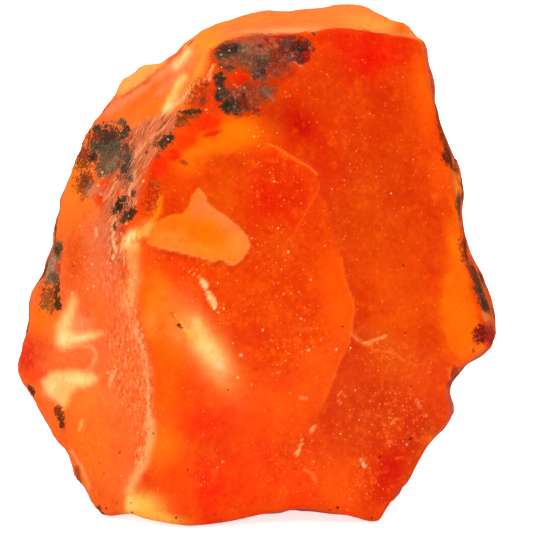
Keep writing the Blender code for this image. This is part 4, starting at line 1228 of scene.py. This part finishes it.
def stone_material():
    made = bpy.data.materials.new("carnelian")
    made.use_nodes = True
    shader = made.node_tree.nodes["Principled BSDF"]
    build = Nodes(made.node_tree)
    place = build.add("ShaderNodeTexCoord").outputs["Object"]
    crust = build.attribute("crust", "Color")
    skin = build.attribute("skin")
    frost = build.attribute("frost")
    fibre = build.attribute("fibre")
    grit = build.attribute("grit")

    # Clouds and fine mottling of the clear stone
    clouds = build.noise(place, 3.5, 4.0, 0.6)
    body = build.tinted(build.attribute("tone", "Color"), clouds, 0.42, 0.75, 0.16, (255, 120, 10))
    body = build.tinted(body, clouds, 0.50, 0.28, 0.16, BLOOD)
    veins = build.noise(place, 1.1, 4.0, 0.65)
    body = build.tinted(body, veins, 0.52, 0.70, 0.20, (255, 112, 4))
    body = build.tinted(body, veins, 0.48, 0.32, 0.22, (206, 26, 1))
    mottle = build.noise(place, 0.30, 4.0, 0.7)
    body = build.scaled(body, build.between(mottle, 0.30, 0.70, 0.93, 1.06))
    golden = build.noise(place, 0.55, 4.0, 0.75)
    body = build.tinted(body, golden, 0.48, 0.66, 0.42, (255, 116, 18), grit)

    # Sugary grains of the frosted fracture, drawn out along the ridge
    sugar = build.noise(build.stretched(place, (1.0, 1.0, 0.6)), 0.32, 3.0, 0.75)
    body = build.tinted(body, sugar, 0.52, 0.68, 0.70, (255, 176, 122), frost)
    body = build.tinted(body, sugar, 0.47, 0.33, 0.60, (206, 58, 12), frost)

    # Threads of dull stone beside the ridge
    turned = build.add("ShaderNodeVectorRotate", rotation_type="Y_AXIS")
    build.join(place, turned.inputs["Vector"])
    turned.inputs["Angle"].default_value = math.radians(-34.0)
    thread_noise = build.noise(build.stretched(turned.outputs[0], (1.0, 1.0, 0.22)), 0.30, 3.0, 0.7)
    body = build.tinted(body, thread_noise, 0.53, 0.66, 0.80, (240, 178, 132), fibre)
    body = build.tinted(body, thread_noise, 0.48, 0.34, 0.85, (122, 54, 30), fibre)

    # Worn edges are paler; dark dots are single flecks
    body = build.mix(build.times(build.attribute("wear"), 0.14), body, colour((255, 160, 92)))
    body = paint_specks(build, place, body, grit)
    body = build.tinted(body, build.attribute("dot"), 1.15, 0.55, 0.92, (92, 22, 6))

    # Weathered skin, broken up by noise so that it ends in crumbs
    crumbs = build.between(build.noise(place, 0.26, 4.0, 0.7), 0.25, 0.75)
    threshold = build.minus(build.times(build.minus(1.0, skin), 1.05), 0.02)
    covered = build.between(crumbs, threshold, build.plus(threshold, 0.10))
    covered = build.times(covered, build.between(skin, 0.10, 0.35))
    dapple = build.noise(place, 0.26, 3.0, 0.7)
    bark = build.scaled(crust, build.between(dapple, 0.34, 0.68, 0.45, 1.40))
    flecks = build.noise(place, 0.40, 3.0, 0.7)
    bark = build.tinted(bark, flecks, 0.54, 0.66, 0.42, (142, 116, 88))
    distance, number = build.cells(place, 0.42)
    crystal = build.times(build.between(distance, 0.20, 0.08), build.between(number, 0.74, 0.78, 0.0, 0.55))
    crystal = build.times(crystal, build.between(skin, 0.90, 0.99))
    bark = build.mix(crystal, bark, colour((206, 186, 158)))
    look = build.mix(build.times(covered, 0.96), body, bark)
    # Painted glints: the single pale sparks of light
    look = build.tinted(look, build.attribute("spark"), 1.10, 0.45, 0.85, (255, 190, 124))
    build.join(look, shader.inputs["Base Color"])

    # Finish: waxy breaks, dull frost, dry skin
    rough = build.between(build.noise(place, 1.8, 3.0, 0.6), 0.3, 0.7, 0.27, 0.42)
    rough = build.plus(rough, build.times(frost, 0.22))
    rough = build.plus(rough, build.times(covered, 0.30), clamp=True)
    build.join(rough, shader.inputs["Roughness"])
    shader.inputs["IOR"].default_value = 1.54
    shader.inputs["Specular IOR Level"].default_value = 0.06

    # Light enters the clear stone, and not the skin
    clear = build.minus(1.0, covered, clamp=True)
    build.join(build.times(clear, 0.45), shader.inputs["Subsurface Weight"])
    shader.inputs["Subsurface Radius"].default_value = (1.0, 0.28, 0.08)
    shader.inputs["Subsurface Scale"].default_value = 0.9 * MM

    # Fine bump: grains in frost and skin, faint waves on the breaks
    total = build.plus(build.swing(sugar, frost, 1.2), build.swing(dapple, covered, 2.0))
    total = build.plus(total, build.times(build.noise(place, 1.3, 3.0, 0.5), 0.25))
    total = build.plus(total, build.swing(thread_noise, fibre, 2.0))
    bump = build.add("ShaderNodeBump")
    bump.inputs["Strength"].default_value = 0.6
    bump.inputs["Distance"].default_value = 0.10 * MM
    build.join(total, bump.inputs["Height"])
    build.join(bump.outputs[0], shader.inputs["Normal"])
    return made


# Floor, light and camera


def make_floor():
    work = bmesh.new()
    bmesh.ops.create_grid(work, x_segments=1, y_segments=1, size=1.2)
    mesh = bpy.data.meshes.new("floor")
    work.to_mesh(mesh)
    work.free()
    floor = bpy.data.objects.new("floor", mesh)
    floor.location = (0.0, 0.0, cad_low.z)
    bpy.context.scene.collection.objects.link(floor)
    made = bpy.data.materials.new("pale_floor")
    made.use_nodes = True
    shader = made.node_tree.nodes["Principled BSDF"]
    shader.inputs["Roughness"].default_value = 0.9
    shader.inputs["Specular IOR Level"].default_value = 0.1
    shader.inputs["Emission Color"].default_value = (1.0, 1.0, 1.0, 1.0)
    build = Nodes(made.node_tree)
    path = build.add("ShaderNodeLightPath")
    glow = build.between(path.outputs["Is Camera Ray"], 0.0, 1.0, 0.14, 0.75)
    build.join(glow, shader.inputs["Emission Strength"])
    base = build.mix(path.outputs["Is Glossy Ray"], (0.86, 0.86, 0.86, 1.0), (0.03, 0.03, 0.03, 1.0))
    build.join(base, shader.inputs["Base Color"])
    mesh.materials.append(made)


def make_softbox(name, azimuth, elevation, side, power):
    """A square soft lamp that looks at the stone; azimuth 0 is in front and 90 at the right."""
    light = bpy.data.lights.new(name, "AREA")
    light.shape = "SQUARE"
    light.size = side
    light.energy = power
    a, e = math.radians(azimuth), math.radians(elevation)
    away = Vector((math.sin(a) * math.cos(e), -math.cos(a) * math.cos(e), math.sin(e)))
    lamp = bpy.data.objects.new(name, light)
    middle = (cad_low + cad_high) / 2
    lamp.location = middle + away * LAMP_DISTANCE
    lamp.rotation_euler = (-away).to_track_quat("-Z", "Y").to_euler()
    lamp.visible_glossy = False
    bpy.context.scene.collection.objects.link(lamp)


def make_world():
    world = bpy.data.worlds.new("studio")
    world.use_nodes = True
    bpy.context.scene.world = world
    tree = world.node_tree
    build = Nodes(tree)
    shown = tree.nodes["Background"]
    shown.inputs["Color"].default_value = (1.0, 1.0, 1.0, 1.0)
    shown.inputs["Strength"].default_value = 1.0
    ambient = build.add("ShaderNodeBackground")
    ambient.inputs["Color"].default_value = (1.0, 1.0, 1.0, 1.0)
    ambient.inputs["Strength"].default_value = 0.18
    world.cycles_visibility.glossy = False
    chooser = build.add("ShaderNodeMixShader")
    path = build.add("ShaderNodeLightPath")
    build.join(path.outputs["Is Camera Ray"], chooser.inputs[0])
    build.join(ambient.outputs[0], chooser.inputs[1])
    build.join(shown.outputs[0], chooser.inputs[2])
    build.join(chooser.outputs[0], tree.nodes["World Output"].inputs["Surface"])


def make_camera():
    lens = bpy.data.cameras.new("camera")
    lens.sensor_width = SENSOR
    lens.lens = SENSOR * EYE_DISTANCE * PIXELS_PER_MM / PICTURE_SIDE
    lens.clip_start = 0.01
    lens.clip_end = 10.0
    camera = bpy.data.objects.new("camera", lens)
    view = sight_frame() @ Matrix.Translation((0.0, 0.0, EYE_DISTANCE))
    camera.matrix_world = Matrix.Translation(view.to_translation() * MM) @ view.to_3x3().to_4x4()
    bpy.context.scene.collection.objects.link(camera)
    bpy.context.scene.camera = camera


stone = dress_stone(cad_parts["rough_carnelian"])
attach(stone, "root")
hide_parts("rough_carnelian")

make_floor()
for name, placed in SOFTBOXES.items():
    make_softbox(name, *placed)
make_world()
make_camera()
bpy.context.scene.view_settings.view_transform = "Standard"
bpy.context.scene.view_settings.look = "None"
